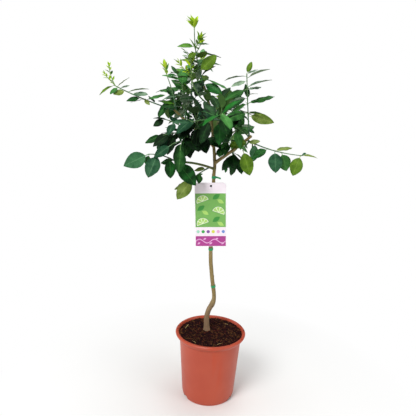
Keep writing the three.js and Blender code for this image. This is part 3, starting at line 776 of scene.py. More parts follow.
shoots = [
    shoot("top", "bough_leader", 1, (-73, -5, 962), (-12, 0, 0), ("moss", "mid", 0.5, 0, 0.1),
          leaves=10, turn=60, open=56, droop=0.1, young=0.8, bare=0.05, last=0.6, width=0.9, facing=-0.4,
          tones="bright mid moss mid moss blue mid deep", shown=[
              (0.68, -111, -10, 917, 0.3), (0.73, -37, 4, 927, 0), (0.58, -82, -30, 891, 0.6),
              (0.57, -7, 10, 898, -0.2), (0.26, -18, -26, 896, 0.9), (0.36, -6, 28, 886, -0.3),
              (0.14, 13, -12, 827, -0.4), (0.04, -5, -26, 813, 0.7)]),
    tuft("top_tip", "top", 0.97, (-74, -5, 970), (0, 0, 0), ("young", "young", 0, 4, 0),
         leaves=10, blade=27, open=34, width=0.62),
    tuft("top_side", "top", 0.66, (-58, -12, 938), (0, 0, 0), ("young", "bright", 0.2, 5, 0),
         leaves=6, blade=23, turn=80),
    shoot("top_back", "top", 0.3, (-52, 46, 898), (0, 6, -6), ("mid", "grey", 0.5, 4, 0.15),
          leaves=6, blade=42, turn=280, width=0.85, facing=-0.2),
    shoot("second", "bough_leader", 0.35, (-77, -14, 896), (-30, -8, -26), ("mid", "grey", 0.5, 5, 0.25),
          leaves=10, blade=54, turn=355, open=66, droop=0.05, young=0.5, bare=0.05, width=0.8, facing=-0.4),
    tuft("second_side", "second", 0.68, (-104, -24, 880), (0, 0, 0), ("young", "bright", 0.2, 6, 0),
         leaves=7, blade=19, turn=50),
    shoot("left_up", "bough_left", 0.95, (-132, -36, 852), (6, 0, 0), ("mid", "grey", 0.4, 0, 0),
          leaves=3, blade=42, turn=175, last=0.4, tones="mid bright",
          shown=[(0.62, -156, -41, 813, -0.2), (0.2, -150, -41, 793, 0.1)]),
    tuft("left_up_tip", "left_up", 0.96, (-137, -37, 870), (0, 0, 0), ("young", "bright", 0.3, 3, 0),
         leaves=6, blade=21, turn=60, open=34),
    shoot("far_left", "bough_left", 1, (-250, -60, 824), (0, 0, -8), ("mid", "blue", 0.4, 0, 0),
          leaves=3, blade=34, turn=205, last=0.5, width=0.9, facing=-0.2,
          tones="moss grey moss mid olive mid grey dark olive mid", shown=[
              (0.95, -214, -72, 842, -0.1), (0.9, -217, -46, 826, -0.3), (1, -282, -67, 800, -0.3),
              (0.94, -255, -76, 804, 0.3), (0.82, -247, -73, 802, 0.8), (0.78, -172, -44, 818, -0.5),
              (0.71, -173, -66, 806, 0.2), (0.56, -220, -61, 788, 0.6), (0.51, -170, -55, 782, 0.8),
              (0.47, -135, -38, 808, -0.2)]),
    tuft("far_left_tip", "far_left", 0.98, (-262, -60, 866), (-4, 0, -4),
         ("young", "bright", 0.25, 4, 0), leaves=9, blade=14, turn=200),
    tuft("far_left_side", "far_left", 0.98, (-270, -64, 846), (0, 0, 0),
         ("young", "bright", 0.25, 3, 0), leaves=6, blade=13, turn=90),
    shoot("mid_left", "bough_left", 0.55, (-93, -84, 690), (-4, -8, 10), ("mid", "dark", 0.5, 0, 0.45),
          leaves=5, blade=66, turn=345, droop=0.35),
    shoot("mid_left_side", "mid_left", 0.75, (-114, -90, 696), (0, 0, 4), ("blue", "dark", 0.2, 0, 0),
          tones="blue", shown=[(1, -147, -104, 664, 0.8)]),
    shoot("mid_left_edge", "mid_left", 0.3, (-132, -60, 752), (0, 0, 8), ("dark", "blue", 0.4, 0, 0.3),
          leaves=4, blade=48, turn=195, droop=0.4, step=180, last=0.8,
          tones="dark", shown=[(1, -156, -66, 733, 0.8)]),
    shoot("mid_left_low", "mid_left", 0.45, (-134, -76, 716), (0, 0, 8), ("blue", "dark", 0.4, 0, 0.3),
          leaves=3, blade=56, turn=0, droop=0.4, last=0.7, tones="mid blue blue",
          shown=[(1, -174, -80, 696, 0.3), (0.79, -144, -81, 682, 0.6), (0.6, -142, -60, 704, 0.4)]),
    shoot("heart", "bough_left", 0.25, (-62, -70, 768), (-4, -14, -6), ("dark", "blue", 0.25, 0, 0.6),
          leaves=10, blade=68, turn=260, step=165, open=48, droop=0.65),
    shoot("under_left", "bough_left", 0.36, (-94, -34, 692), (-10, 0, 8),
          ("dark", "mid", 0.25, 0, 0.6), leaves=6, blade=56, turn=110, step=165),
    shoot("upper_left", "bough_left", 0.72, (-100, 24, 832), (4, 10, -10),
          ("mid", "grey", 0.5, 0, 0.4), leaves=12, blade=60, turn=325, step=165, open=64, width=0.9,
          facing=-0.3),
    shoot("low_left", "bough_low_left", 1, (-164, -100, 674), (0, 0, 12),
          ("blue", "deep", 0.2, 0, 0), width=1.15, tones="blue deep blue deep deep deep", shown=[
              (1, -216, -106, 637, 1), (0.97, -170, -86, 640, 0.9), (0.7, -164, -116, 622, 0.8),
              (0.12, -140, -58, 648, 0.3), (0.28, -114, -77, 616, 0.5), (0.09, -66, -84, 595, 0.5)]),
    shoot("low_hanging", "bough_low_left", 0.12, (-74, -36, 602), (0, 0, 4),
          ("mid", "olive", 0.3, 0, 0.3), leaves=3, blade=36, turn=40, droop=0.4, last=0.8,
          tones="olive olive mid",
          shown=[(1, -109, -22, 578, 0.2), (0.8, -92, -62, 562, 0.9), (0.62, -38, -20, 620, 0.2)]),
    shoot("right_up", "bough_right", 1, (54, -36, 864), (-1, 0, 0), ("grey", "mid", 0.3, 0, 0),
          leaves=3, blade=46, turn=85, last=0.6, width=0.9, facing=-0.3,
          tones="moss grey grey grey grey grey grey mid grey grey mid mid olive mid deep", shown=[
              (1, 65, -40, 890, 1), (0.99, 81, -22, 874, -0.4), (0.93, 105, -52, 875, -0.4),
              (0.96, 4, -26, 848, -0.4), (0.89, 21, -50, 833, 0.1), (0.79, 115, -24, 852, -0.4),
              (0.75, 92, -10, 836, -0.4), (0.76, 4, -54, 800, 0), (0.67, 81, -58, 819, -0.2),
              (0.62, 17, -20, 795, 0), (0.54, 120, -46, 815, 0), (0.53, 25, -16, 774, 0.3),
              (0.35, 122, -49, 748, 0.8), (0.39, 9, -55, 753, 0.5), (0.13, 79, -43, 727, 0.8)]),
    shoot("right_out", "bough_right", 0.93, (191, -78, 684), (-6, -6, -12),
          ("blue", "bright", 0.2, 0, 0.1), width=1.15, leaves=2, blade=42, turn=30, droop=0.8, last=0.6,
          tones="deep deep blue mid olive moss blue olive", shown=[
              (0.12, 84, -29, 680, 0), (0.42, 78, -64, 667, 0.3), (0.54, 133, -76, 641, 0.9),
              (0.66, 162, -56, 639, 0.9), (0.55, 173, -46, 696, -0.3), (0.98, 173, -83, 637, 0),
              (0.99, 197, -92, 690, 0.5), (1, 229, -74, 678, -0.2)]),
    shoot("right_tuft", "right_out", 0.06, (54, -56, 686), (0, -4, 4),
          ("olive", "bright", 0.4, 0, 0.2), tones="moss olive moss",
          shown=[(0.1, 23, -36, 689, 0.8), (0.25, 96, -42, 708, 0.2), (0.95, 72, -68, 630, 0.8)]),
    shoot("right_low", "bough_right", 0.5, (36, -6, 660), (4, 0, 2), ("dark", "deep", 0.35, 0, 0.3),
          leaves=6, blade=51, turn=120, step=30, droop=0.5, tones="dark dark",
          shown=[(0.62, 12, -26, 632, 0.7), (0.3, 37, -44, 640, 0.8)]),
    shoot("right_inner", "bough_right", 0.3, (12, -54, 740), (4, -8, -6),
          ("dark", "mid", 0.35, 0, 0.5), leaves=7, blade=60, turn=55, open=64, droop=0.2, bare=0.3,
          tones="dark", shown=[(0.8, 6, 8, 674, 0.6)]),
    shoot("mid_right", "trunk", 0.985, (30, 6, 790), (0, 0, -8), ("mid", "grey", 0.45, 0, 0.35),
          leaves=9, blade=64, turn=305, step=165, open=56, droop=0.05, width=0.85, facing=-0.4),
    shoot("mid_right_low", "mid_right", 0.35, (36, -25, 732), (6, 0, 6),
          ("mid", "dark", 0.3, 0, 0.35), leaves=5, blade=58, turn=25, step=180, open=67, width=0.9,
          facing=-0.2),
    shoot("front", "bough_front", 1, (-2, -136, 782), (0, -8, -6), ("deep", "mid", 0.4, 0, 0.35),
          leaves=8, blade=60, turn=165, open=64, droop=0.05, young=0.9, facing=-0.3),
    shoot("front_left", "front", 0.25, (-66, -116, 752), (0, 0, 8), ("dark", "blue", 0.3, 0, 0.35),
          leaves=5, blade=62, turn=5, step=165, open=66, droop=0),
    shoot("back_left", "bough_back_left", 1, (-118, 166, 862), (0, 4, -12),
          ("mid", "dark", 0.4, 4, 0.35), leaves=11, blade=64, turn=170, open=66, droop=0.15, young=0.8,
          bare=0.06),
    shoot("back_left_side", "back_left", 0.25, (-134, 94, 794), (0, 0, 6),
          ("dark", "mid", 0.3, 0, 0.35), leaves=9, blade=64, turn=210, open=42, droop=0.55),
    shoot("back_left_up", "back_left", 0.3, (-82, 104, 892), (0, 6, -6),
          ("mid", "bright", 0.4, 5, 0.2), leaves=10, blade=54, turn=225, open=48, droop=0.15, young=0.6),
    shoot("back", "bough_back", 1, (-4, 200, 804), (2, 10, -10), ("mid", "dark", 0.4, 5, 0.35),
          leaves=13, blade=66, turn=205, step=150, open=52, droop=0.4, young=0.8, bare=0.06),
    shoot("back_side", "back", 0.25, (42, 122, 776), (0, 0, 6), ("dark", "mid", 0.3, 0, 0.35),
          leaves=6, blade=58, turn=245, step=165, open=66, droop=0.4),
    shoot("back_inner", "back", 0.2, (-48, 114, 754), (0, 0, 6), ("dark", "mid", 0.3, 0, 0.35),
          leaves=6, blade=60, turn=95, step=165, open=52, droop=0.6),
    shoot("back_right", "bough_back_right", 1, (54, 158, 724), (0, 4, 4),
          ("mid", "olive", 0.2, 3, 0.35), leaves=10, blade=66, turn=20, step=150, open=58, droop=0.6,
          bare=0.06),
]
masses = ["foliage_" + row["name"] for row in shoots if row["on"] in limbs]  # the other shoots grow on these
rule = dict(turnPlay=20, openPlay=8, rollPlay=20, lastOpen=0.3, smallest=0.82, tries=4, tryTurn=24,
            shownTry=0.3, sag=0.16)
# A leaf's turn is counted from the first direction, and its face is between the other two
turnFrom, light, front = Vector((0.3, -0.9, 0.3)), Vector((0.12, -0.35, 1)), Vector((0, -1, 0.1))
tones = {  # shaded, lit, ribs and underside
    "bright": ("#265406", "#5a961c", "#86ac48", "#6d8f40"),
    "moss": ("#31500a", "#6f9426", "#93a85a", "#7a9246"),
    "deep": ("#062e0a", "#1f7025", "#528240", "#577c38"),
    # dark: the darker green of leaves grown in shade, and painted shade for the inner shoots that it is given
    # to
    "dark": ("#041c07", "#1a581c", "#3b6a30", "#4b6f35"),
    # blue-green: leaf green with a painted bluish sheen of the sky, both in the base colour
    "blue": ("#143e26", "#40744a", "#779c76", "#6c8c58"),
    "mid": ("#103a12", "#44863a", "#74a05c", "#6c9048"),
    # pale grey-green: a painted sheen of the sky on glossy leaves, put in the base colour
    "grey": ("#3e6046", "#96ae90", "#b0c4aa", "#9cae8c"),
    "olive": ("#4a621a", "#869a4a", "#a6b173", "#8c9e5c"),
    "young": ("#78a20a", "#b6d224", "#cfe066", "#b4ca3c"),
}
twigLook = {
    "ring": 2.5, "sides": 8, "base": 1.7, "tip": 0.95, "swell": 0.3, "swellReach": 1.8, "seat": 9,
    "seatFrom": 2.2, "youth": {"tuft": (0.6, 1.0), "flush": (0.0, 0.9), "plain": (0.0, 0.3)},
}
paintedShadeCore = {"place": Vector((-72, -35, 728)), "reach": 115, "darkest": 0.85}  # the middle of the crown, whose leaves get painted shade
spurs = {
    "length": (14, 32), "base": 1.15, "tip": 0.65, "open": 42, "turn": 24, "bow": (0, 0, -1.5),
    "youth": (0.25, 0.4), "leaves": (2, 4), "blade": (22, 42), "width": 0.95, "otherFrom": 0.6,
    "usual": dict(open=50, step=goldenTurn, bare=0.45, last=0.97, young=0.9, crowd=False),
}
flush = {"from": 0.8, "blade": 25, "turn": 40, "open": (46, 14), "roll": 40, "droop": -0.1, "size": (0.65, 1)}
spines = {"share": 0.45, "upTo": 0.8, "out": 1.2, "length": (4, 9), "radius": 0.75, "sides": 5,
          "colours": ("#3d5a2a", "#7a6c40")}
# Leaf forms: half-width, where widest, fullness, fold, sag, curl, twist and wave of the margin
leafForms = [
    (0.25, 0.82, 0.78, 0.2, 0.15, 0.1, 5, 0.01), (0.27, 0.9, 0.72, 0.12, 0.18, 0.16, -6, 0.014),
    (0.23, 0.78, 0.85, 0.3, 0.14, 0.06, 8, 0.008), (0.26, 0.86, 0.7, 0.08, 0.17, 0.2, -3, 0.018),
    (0.24, 0.95, 0.8, 0.24, 0.2, 0.08, -9, 0.012), (0.28, 0.84, 0.75, 0.16, 0.12, 0.14, 2, 0.016),
    (0.21, 0.8, 0.85, 0.36, 0.1, 0.05, 4, 0.006), (0.16, 0.76, 0.95, 0.52, 0.06, 0.02, -6, 0.004),
    (0.12, 0.8, 1, 0.6, -0.02, 0, 8, 0.004),
]
matureForms = 6  # those past these are young
leafPlay = {"width": (0.92, 1.12), "evenShade": (0.35, 0.75), "lateWidth": 0.95, "sameTip": 0.2}
leafShape = {
    "rings": [0, 0.12, 0.16, 0.23, 0.33, 0.44, 0.56, 0.68, 0.8, 0.91, 1],
    "across": [(-1, 0), (-0.5, 0.5), (0, 0.5), (0.5, 0.5), (1, 0), (0, -0.5)],  # the last is below the midrib
    "stalk": 0.12, "stalkWidth": 0.014, "wing": 0.01, "tipWidth": 0.004, "thick": 0.01, "stalkThick": 0.024,
}


def dice(seed):
    # the source's seeded random numbers from 0 to 1
    state, last = seed * 7919 + 12345, 2147483647

    def roll():
        nonlocal state
        state = (state * 16807) % last
        return state / last
    return roll


def opening(ahead, turn, opened):
    # direction that leaves the shoot at an angle, turned round it
    aside = Matrix.Rotation(turn, 3, ahead) @ ahead.cross(turnFrom).normalized()
    return ahead * math.cos(opened) + aside * math.sin(opened)


def newPose(row, along, direction, length, **rest):
    line = row["line"]
    return {"roll": 0, "droop": 0, "facing": 0, "tone": None, **rest, "along": along,
            "root": line.point(along), "ahead": line.ahead(along), "direction": direction, "length": length}


def leafPose(row, k, roll):
    def play(most):
        return lerp(-most, most, roll())
    share = k / max(row["leaves"] - 1, 1)
    along = lerp(row["bare"], row["last"], share)
    turn = math.radians(row["turn"] + k * row["step"] + play(rule["turnPlay"]))
    opened = math.radians(row["open"] * (rule["lastOpen"] if share == 1 else 1) + play(rule["openPlay"]))
    size = lerp(rule["smallest"], 1, roll()) * lerp(1, row["young"], share ** 3)
    return newPose(row, along, opening(row["line"].ahead(along), turn, opened), row["blade"] * size,
                   roll=math.radians(play(rule["rollPlay"])), droop=row["droop"], facing=row["facing"])


def shownPose(row, given, tone):
    # the same for a leaf that stands out, which sags to the tip that is given for it
    along, x, y, z, facing = given
    direction = Vector((x, y, z)) - row["line"].point(along)
    length = direction.length
    direction.z += rule["sag"] * length
    return newPose(row, along, direction.normalized(), length, facing=facing, tone=tone)


def leafAxes(pose, extra=0.0):
    # direction of a leaf and of its upper face, once it is turned aside round its shoot
    turn = extra * (rule["shownTry"] if pose["tone"] else 1)
    direction = Matrix.Rotation(turn, 3, pose["ahead"]) @ pose["direction"]
    direction.z -= pose["droop"]
    direction.normalize()
    up = light.lerp(front, pose["facing"])
    up = (up - direction * up.dot(direction)).normalized()
    return direction, Matrix.Rotation(pose["roll"], 3, direction) @ up


leafTurns = [0.0]  # turns aside that a leaf may take, in the order that they are tried
for step in range(1, rule["tries"] + 1):
    leafTurns += [math.radians(step * rule["tryTurn"]), math.radians(-step * rule["tryTurn"])]


def leafMesh(halfWidth, widest, full, fold, sag, curl, twist, wave):
    # one leaf along +Y with its stalk, its face up
    corners, uvs, rings, stalk = [], [], leafShape["rings"], leafShape["stalk"]
    for t in rings:
        if t <= stalk:
            half = leafShape["stalkWidth"] + leafShape["wing"] * math.sin(math.pi * t / stalk)
            thick = leafShape["stalkThick"]
        else:
            s = (t - stalk) / (1 - stalk)
            half = max(halfWidth * math.sin(math.pi * s ** widest) ** full, leafShape["tipWidth"])
            thick = leafShape["thick"]
        turn = math.radians(twist) * t
        for across, lift in leafShape["across"]:
            x = across * half
            z = fold * abs(x) - curl * x * x / halfWidth - sag * t * t + lift * thick
            z += wave * across * across * math.sin(t * 19 + across * 1.3)
            corners.append((x * math.cos(turn), t, z + x * math.sin(turn)))
            uvs.append(((across + 1) / 2, t))
    faces, under = [], []
    for a in range(0, len(corners) - 6, 6):
        b = a + 6
        for i in range(4):
            above = [a + i, a + i + 1, b + i + 1, b + i]
            faces.append(above[1:] + above[:1] if i < 2 else above)  # folds mirrored at the midrib
        faces += [(a + 5, a, b, b + 5), (a + 5, b + 5, b + 4, a + 4)]
        under += [0.0] * 4 + [1.0] * 2
    faces += [tuple(reversed(range(6))), tuple(range(len(corners) - 6, len(corners)))]
    mesh = newMesh("leafForm", corners, faces, size=1)
    layer = mesh.uv_layers.new(name="leafUV")
    for loop in mesh.loops:
        layer.data[loop.index].uv = uvs[loop.vertex_index]
    carry(mesh, "under", under + [1.0] * 2, "FACE")
    for edge in mesh.edges:
        a, b = (v % 6 for v in edge.vertices)
        edge.use_edge_sharp = a == b and a in (0, 4)
    return mesh


def toneLeaf(shaded, lit, rib, below):
    def shade(tree, where, shader):
        spot = addNode(tree, "ShaderNodeUVMap", uv_map="leafUV")
        across, along, _ = addNode(tree, "ShaderNodeSeparateXYZ", {0: spot}).node.outputs
        aside = maths(tree, "ABSOLUTE", maths(tree, "SUBTRACT", across, 0.5))
        midrib = ranged(tree, aside, 0.75, 0, 0.006, 0.035)
        slant = maths(tree, "MULTIPLY", aside, 5.0)
        phase = maths(tree, "SUBTRACT", maths(tree, "MULTIPLY", along, 13.0), slant)
        wedge = maths(tree, "ABSOLUTE", maths(tree, "SUBTRACT", maths(tree, "FRACT", phase), 0.5))
        ribs = maths(tree, "MAXIMUM", midrib, ranged(tree, wedge, 0, 0.12, 0.4, 0.5))
        stalk = ranged(tree, along, 1, 0, 0.11, 0.15)
        cloud = noisy(tree, where, 70.0, 3.0)
        # random tint of each leaf with the painted shade of the crown's middle, which mixes between its
        # shaded and lit colours
        tintAndPaintedShade = maths(tree, "ADD", carried(tree, "shade"), ranged(tree, cloud, -0.3, 0.3, 0.3, 0.7))
        tintAndPaintedShade = maths(tree, "SUBTRACT", tintAndPaintedShade, maths(tree, "MULTIPLY", aside, 0.5))
        tintAndPaintedShade = addNode(tree, "ShaderNodeClamp", {0: tintAndPaintedShade})
        under = carried(tree, "under")
        face = mixed(tree, maths(tree, "MULTIPLY", ribs, 0.4), mixed(tree, tintAndPaintedShade, shaded, lit), rib)
        back = mixed(tree, ranged(tree, tintAndPaintedShade, 0.25, 1), shaded, below)
        dull = maths(tree, "MAXIMUM", ranged(tree, under, 0.38, 0.65), ranged(tree, tintAndPaintedShade, 0.75, 0.3))
        pores = maths(tree, "MULTIPLY", noisy(tree, where, 1400.0, 2.0), 0.12)
        swell = maths(tree, "MULTIPLY", noisy(tree, where, 150.0, 2.0), 1.6)
        height = maths(tree, "SUBTRACT", maths(tree, "ADD", pores, swell), maths(tree, "MULTIPLY", ribs, 0.7))
        colour = mixed(tree, stalk, mixed(tree, under, face, back), rib)
        finish(tree, shader, colour, dull, (height, 0.0005, 0.5), 0.15)
    return shade


def shootSkin(tree, where, shader):
    cloud = ranged(tree, noisy(tree, where, 220.0, 3.0), 0, 1, 0.35, 0.65)
    colour = mixed(tree, carried(tree, "youth"), mixed(tree, cloud, "#1f4030", "#3f6a4a"), "#86a954")
    finish(tree, shader, colour, 0.5, (noisy(tree, where, 700.0, 3.0), 0.0004, 0.5), 0.35)


def leafSprays(tree, given):
    size = scaledBy(tree, named(tree, "size", "FLOAT_VECTOR"), given["Leaf scale"])
    return placedOn(tree, given["Geometry"], given["Forms"], named(tree, "turn", "FLOAT_VECTOR"), size,
                    named(tree, "form", "INT"))


def twigSkin(tree, given):
    lines = addNode(tree, "GeometryNodeMeshToCurve", {0: given["Geometry"]})
    ring = addNode(tree, "GeometryNodeCurvePrimitiveCircle", {"Resolution": given["Sides"], "Radius": 1.0})
    width = maths(tree, "MULTIPLY", named(tree, "radius"), given["Thickness"])
    skin = addNode(tree, "GeometryNodeCurveToMesh", {"Curve": lines, "Profile Curve": ring, "Scale": width,
                                                     "Fill Caps": True})
    return addNode(tree, "GeometryNodeSetShadeSmooth", {0: skin})


def spineCones(tree, given):
    cone = addNode(tree, "GeometryNodeMeshCone", {"Vertices": given["Sides"], "Radius Top": 0.0001,
                                                  "Radius Bottom": given["Radius"], "Depth": mm})
    return placedOn(tree, given["Geometry"], cone, named(tree, "turn", "FLOAT_VECTOR"),
                    named(tree, "size", "FLOAT_VECTOR"))


room = {"bough": 0.3, "trunk": 5, "shoot": 1.7, "spur": 1.1}  # past a bough's radius, and round the others
standing = []  # box, tree and owner of what a leaf has to be clear of


def stand(corners, faces, owner=None):
    low, high = ([pick(c[i] for c in corners) for i in range(3)] for pick in (min, max))
    return low, high, BVHTree.FromPolygons(corners, faces), owner


def isClear(item, own):
    # clear of all that stands, but for what belongs to its own shoot
    low, high, body, _ = item
    for otherLow, otherHigh, other, owner in standing:
        if owner and owner == own:
            continue
        if all(low[i] <= otherHigh[i] and otherLow[i] <= high[i] for i in range(3)) and body.overlap(other):
            return False
    return True


class Crown:
    # what grows: shoots by name, leaves, spines and the lines of the twigs
    def __init__(self):
        self.shoots, self.leaves, self.thorns, self.twigs = {}, [], [], []
        self.forms = [leafMesh(*form) for form in leafForms]
        self.formCorners = [[v.co.copy() for v in mesh.vertices] for mesh in self.forms]
        self.bladeFaces = [tuple(f.vertices) for f in self.forms[0].polygons if min(f.vertices) >= 2 * 6]

    def addLeaf(self, row, pose, extra, width, choices, tone, shade, must=False):
        # the first form that is clear of the rest is taken
        direction, up = leafAxes(pose, extra)
        axes = Matrix((direction.cross(up), direction, up)).transposed()
        size = Vector((pose["length"] * width, pose["length"], pose["length"]))
        best = None
        for form in choices:
            corners = [pose["root"] + axes @ (corner * size) for corner in self.formCorners[form]]
            item = stand(corners, self.bladeFaces, row["name"] if row["crowd"] else None)
            clear = isClear(item, row["name"])
            if clear or (must and best is None):
                best = (form, item)
            if clear:
                break
        if best is None:
            return False
        standing.append(best[1])
        # painted shade: the nearer a leaf is to the crown's middle, the more its colour is mixed toward its
        # tone's shaded colour
        depth = max(1 - (pose["root"] - paintedShadeCore["place"]).length / paintedShadeCore["reach"], 0)
        shade *= 1 - paintedShadeCore["darkest"] * min(depth * 2, 1)
        number = list(tones).index(tone)
        self.leaves.append((pose["root"], axes.to_euler(), size * mm, best[0], number, shade))
        return True

    def addTwig(self, line, base, tip, nodes, youth, seat=0.0):
        # seat is how much thicker the twig starts, where it takes over from an older one
        length = line.reach[-1]
        count = max(int(length / twigLook["ring"]), 6)
        points = []
        for share in (i / count for i in range(count + 1)):
            swell = sum(math.exp(-((share - node) * length / twigLook["swellReach"]) ** 2) for node in nodes)
            radius = lerp(base, tip, share) + twigLook["swell"] * min(swell, 1)
            radius += seat * math.exp(-share * length / twigLook["seat"])
            points.append((line.point(share), radius * mm, lerp(*youth, share)))
        self.twigs.append(points)


def placeShoots(crown):
    for name, (at, tip, bow, radii, ages) in boughs.items():
        standing.append(stand(*rod([limbs[name].even(i / 8) for i in range(9)], radii[1] + room["bough"], 6)))
    standing.append(stand(*rod([limbs["trunk"].even(i / 60) for i in range(61)], room["trunk"], 8)))
    for given in shoots:
        first = {"line": limbs.get(given["on"]), "mass": "foliage_" + given["name"]}
        parent = crown.shoots.get(given["on"], first)
        line = bowed(parent["line"].point(given["at"]), Vector(given["tip"]), given["bow"])
        row = crown.shoots[given["name"]] = dict(given, line=line, mass=parent["mass"])
        spots = [row["line"].point(0.04 + 0.96 * i / 8) for i in range(9)]
        standing.append(stand(*rod(spots, room["shoot"] * row["stem"], 6), row["name"]))


def packedCorners():
    # the corners of each packed mass, to look up where its leaves have their tips
    corners = {}
    for mass in masses:
        found = frame["nodes"][mass].data.vertices
        corners[mass] = KDTree(len(found))
        for i, vertex in enumerate(found):
            corners[mass].insert(vertex.co, i)
        corners[mass].balance()
    return corners


def turnTaken(pose, corners):
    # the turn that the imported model's leaf took is the one whose tip is there
    for extra in leafTurns:
        direction, up = leafAxes(pose, extra)
        tip = pose["root"] + (direction - up * rule["sag"]) * pose["length"]
        if corners.find(tip * mm)[2] < leafPlay["sameTip"] * mm:
            return extra
    return None


def growPacked(crown):
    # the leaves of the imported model, and those that stand out but had no room in its plainer leaves
    corners = packedCorners()
    buds, late = [], []
    for number, row in enumerate(crown.shoots.values()):
        roll, looks = dice(number + 1), dice(number + 101)
        main, other, otherShare, _, budShare = row["look"]
        poses = [shownPose(row, given, tone) for given, tone in zip(row["shown"], row["tones"].split())]
        poses += [leafPose(row, k, roll) for k in range(row["leaves"])]
        for pose in poses:
            extra = turnTaken(pose, corners[row["mass"]])
            first = int(looks() * matureForms)
            choices = [(first + i) % matureForms for i in range(matureForms)]
            if row["crowd"]:
                choices = [matureForms + first % 2]
            tone = pose["tone"] or (other if looks() < otherShare else main)
            width = lerp(*leafPlay["width"], looks()) * (1 if row["crowd"] else row["width"])
            shade = looks()
            if pose["tone"]:  # those that stand out are evener
                shade = lerp(*leafPlay["evenShade"], shade)
            if extra is None:
                late.append((row, pose, width, choices, tone, shade))
                continue
            crown.addLeaf(row, pose, extra, width, choices, tone, shade, True)
            grown = looks() < budShare
            if not row["crowd"]:
                buds.append((row, pose, extra, grown, looks(), looks()))
    for row, pose, width, choices, tone, shade in late:
        must = pose["tone"] is not None
        any(crown.addLeaf(row, pose, turn, width * leafPlay["lateWidth"], choices, tone, shade, must)
            for turn in ([0.0] if must else leafTurns))
    return buds


def growBuds(crown, buds):
    # buds in the leaf axils: some have grown to short spurs with small leaves, some to spines
    for number, (row, pose, extra, grown, first, second) in enumerate(buds):
        looks = dice(number + 501)
        ahead = pose["ahead"]
        direction, up = leafAxes(pose, extra)
        aside = (direction - ahead * direction.dot(ahead)).normalized()
        aside = Matrix.Rotation(math.radians(spurs["turn"]), 3, ahead) @ aside
        opened = math.radians(spurs["open"])
        direction = ahead * math.cos(opened) + aside * math.sin(opened)
        if not grown:
            if first < spines["share"] and pose["along"] < spines["upTo"]:
                turn, length = direction.to_track_quat("Z", "Y").to_euler(), lerp(*spines["length"], second)
                crown.thorns.append((pose["root"] + direction * spines["out"], turn, (1, 1, length)))
            continue
        line = bowed(pose["root"], pose["root"] + direction * lerp(*spurs["length"], first), spurs["bow"])
        item = stand(*rod([line.point(0.15 + 0.85 * i / 4) for i in range(5)], room["spur"], 5))
        if not isClear(item, row["name"]):
            continue
        fewest, most = spurs["leaves"]
        count = int(lerp(fewest, most + 0.99, second))
        young = {**row, **spurs["usual"], "line": line, "leaves": count,
                 "blade": lerp(*spurs["blade"], looks()), "turn": 360 * looks()}
        placed = 0
        for k in range(count):
            small = leafPose(young, k, looks)
            shade = looks()
            form = int(looks() * matureForms)
            tone = row["look"][0 if shade < spurs["otherFrom"] else 1]
            placed += any(crown.addLeaf(young, small, turn, spurs["width"], [form], tone, shade)
                          for turn in leafTurns)
        if placed:
            standing.append(item)
            crown.addTwig(line, spurs["base"], spurs["tip"], [], spurs["youth"])


def growFlush(crown):
    # narrow young leaves crowded at the tips
    for number, row in enumerate(crown.shoots.values()):
        looks = dice(number + 901)
        count = row["look"][3]
        for k in range(count):
            along = lerp(flush["from"], 1.0, k / max(count - 1, 1))
            opened = math.radians(lerp(*flush["open"], k / count))
            turn = math.radians(k * goldenTurn + flush["turn"])
            roll = math.radians(lerp(-flush["roll"], flush["roll"], looks()))
            length = (row["blade"] if row["crowd"] else flush["blade"]) * lerp(*flush["size"], looks())
            direction = opening(row["line"].ahead(along), turn, opened)
            pose = newPose(row, along, direction, length, droop=flush["droop"], roll=roll)
            form = matureForms + int(looks() * (len(leafForms) - matureForms))
            shade = looks()
            any(crown.addLeaf(dict(row, crowd=True), pose, extra, 1.0, [form], "young", shade)
                for extra in leafTurns)


def pointPiece(name, fields, paints, build, sizes, edges=(), forms=()):
    # piece grown by a node tree on points; fields holds the values of each, with their places first
    places = fields.pop("place")
    mesh = newMesh(name, places, [], edges)
    for field, values in fields.items():
        carry(mesh, field, values)
    thing = newPiece(name, mesh)
    settle(thing, build, sizes, [newMaterial(*paint) for paint in paints.items()], forms)
    keep(thing, masses, 60 if edges else None)


def growTree():
    crown = Crown()
    placeShoots(crown)
    buds = growPacked(crown)
    print("leaves of the packed model:", len(crown.leaves))
    growBuds(crown, buds)
    growFlush(crown)
    for row in crown.shoots.values():
        places = [lerp(row["bare"], row["last"], k / max(row["leaves"] - 1, 1)) for k in range(row["leaves"])]
        places += [given[0] for given in row["shown"]]
        kind = "tuft" if row["crowd"] else "flush" if row["look"][3] else "plain"
        seat = 0.0
        if row["on"] in boughs:
            seat = max(lerp(*boughs[row["on"]][3], row["at"]) - twigLook["seatFrom"], 0)
        base, tip = twigLook["base"] * row["stem"], twigLook["tip"] * row["stem"]
        crown.addTwig(row["line"], base, tip, places, twigLook["youth"][kind], seat)
    points, edges = [], []
    for twig in crown.twigs:
        edges += [(len(points) + i, len(points) + i + 1) for i in range(len(twig) - 1)]
        points += twig
    pointPiece("greenShoots", dict(zip(("place", "radius", "youth"), zip(*points))),
               {"green shoot": shootSkin}, twigSkin, {"Sides": twigLook["sides"], "Thickness": 1.0}, edges)
    pointPiece("spines", dict(zip(("place", "turn", "size"), zip(*crown.thorns))),
               {"spine": cloudy(*spines["colours"], 300.0, 2.0, (0, 1), 0.45)},
               spineCones, {"Sides": spines["sides"], "Radius": spines["radius"] * mm})
    pointPiece("leaves", dict(zip(("place", "turn", "size", "form", "tone", "shade"), zip(*crown.leaves))),
               {"leaf " + name: toneLeaf(*codes) for name, codes in tones.items()},
               leafSprays, {"Leaf scale": 1.0}, forms=crown.forms)


# Ties round the trunk

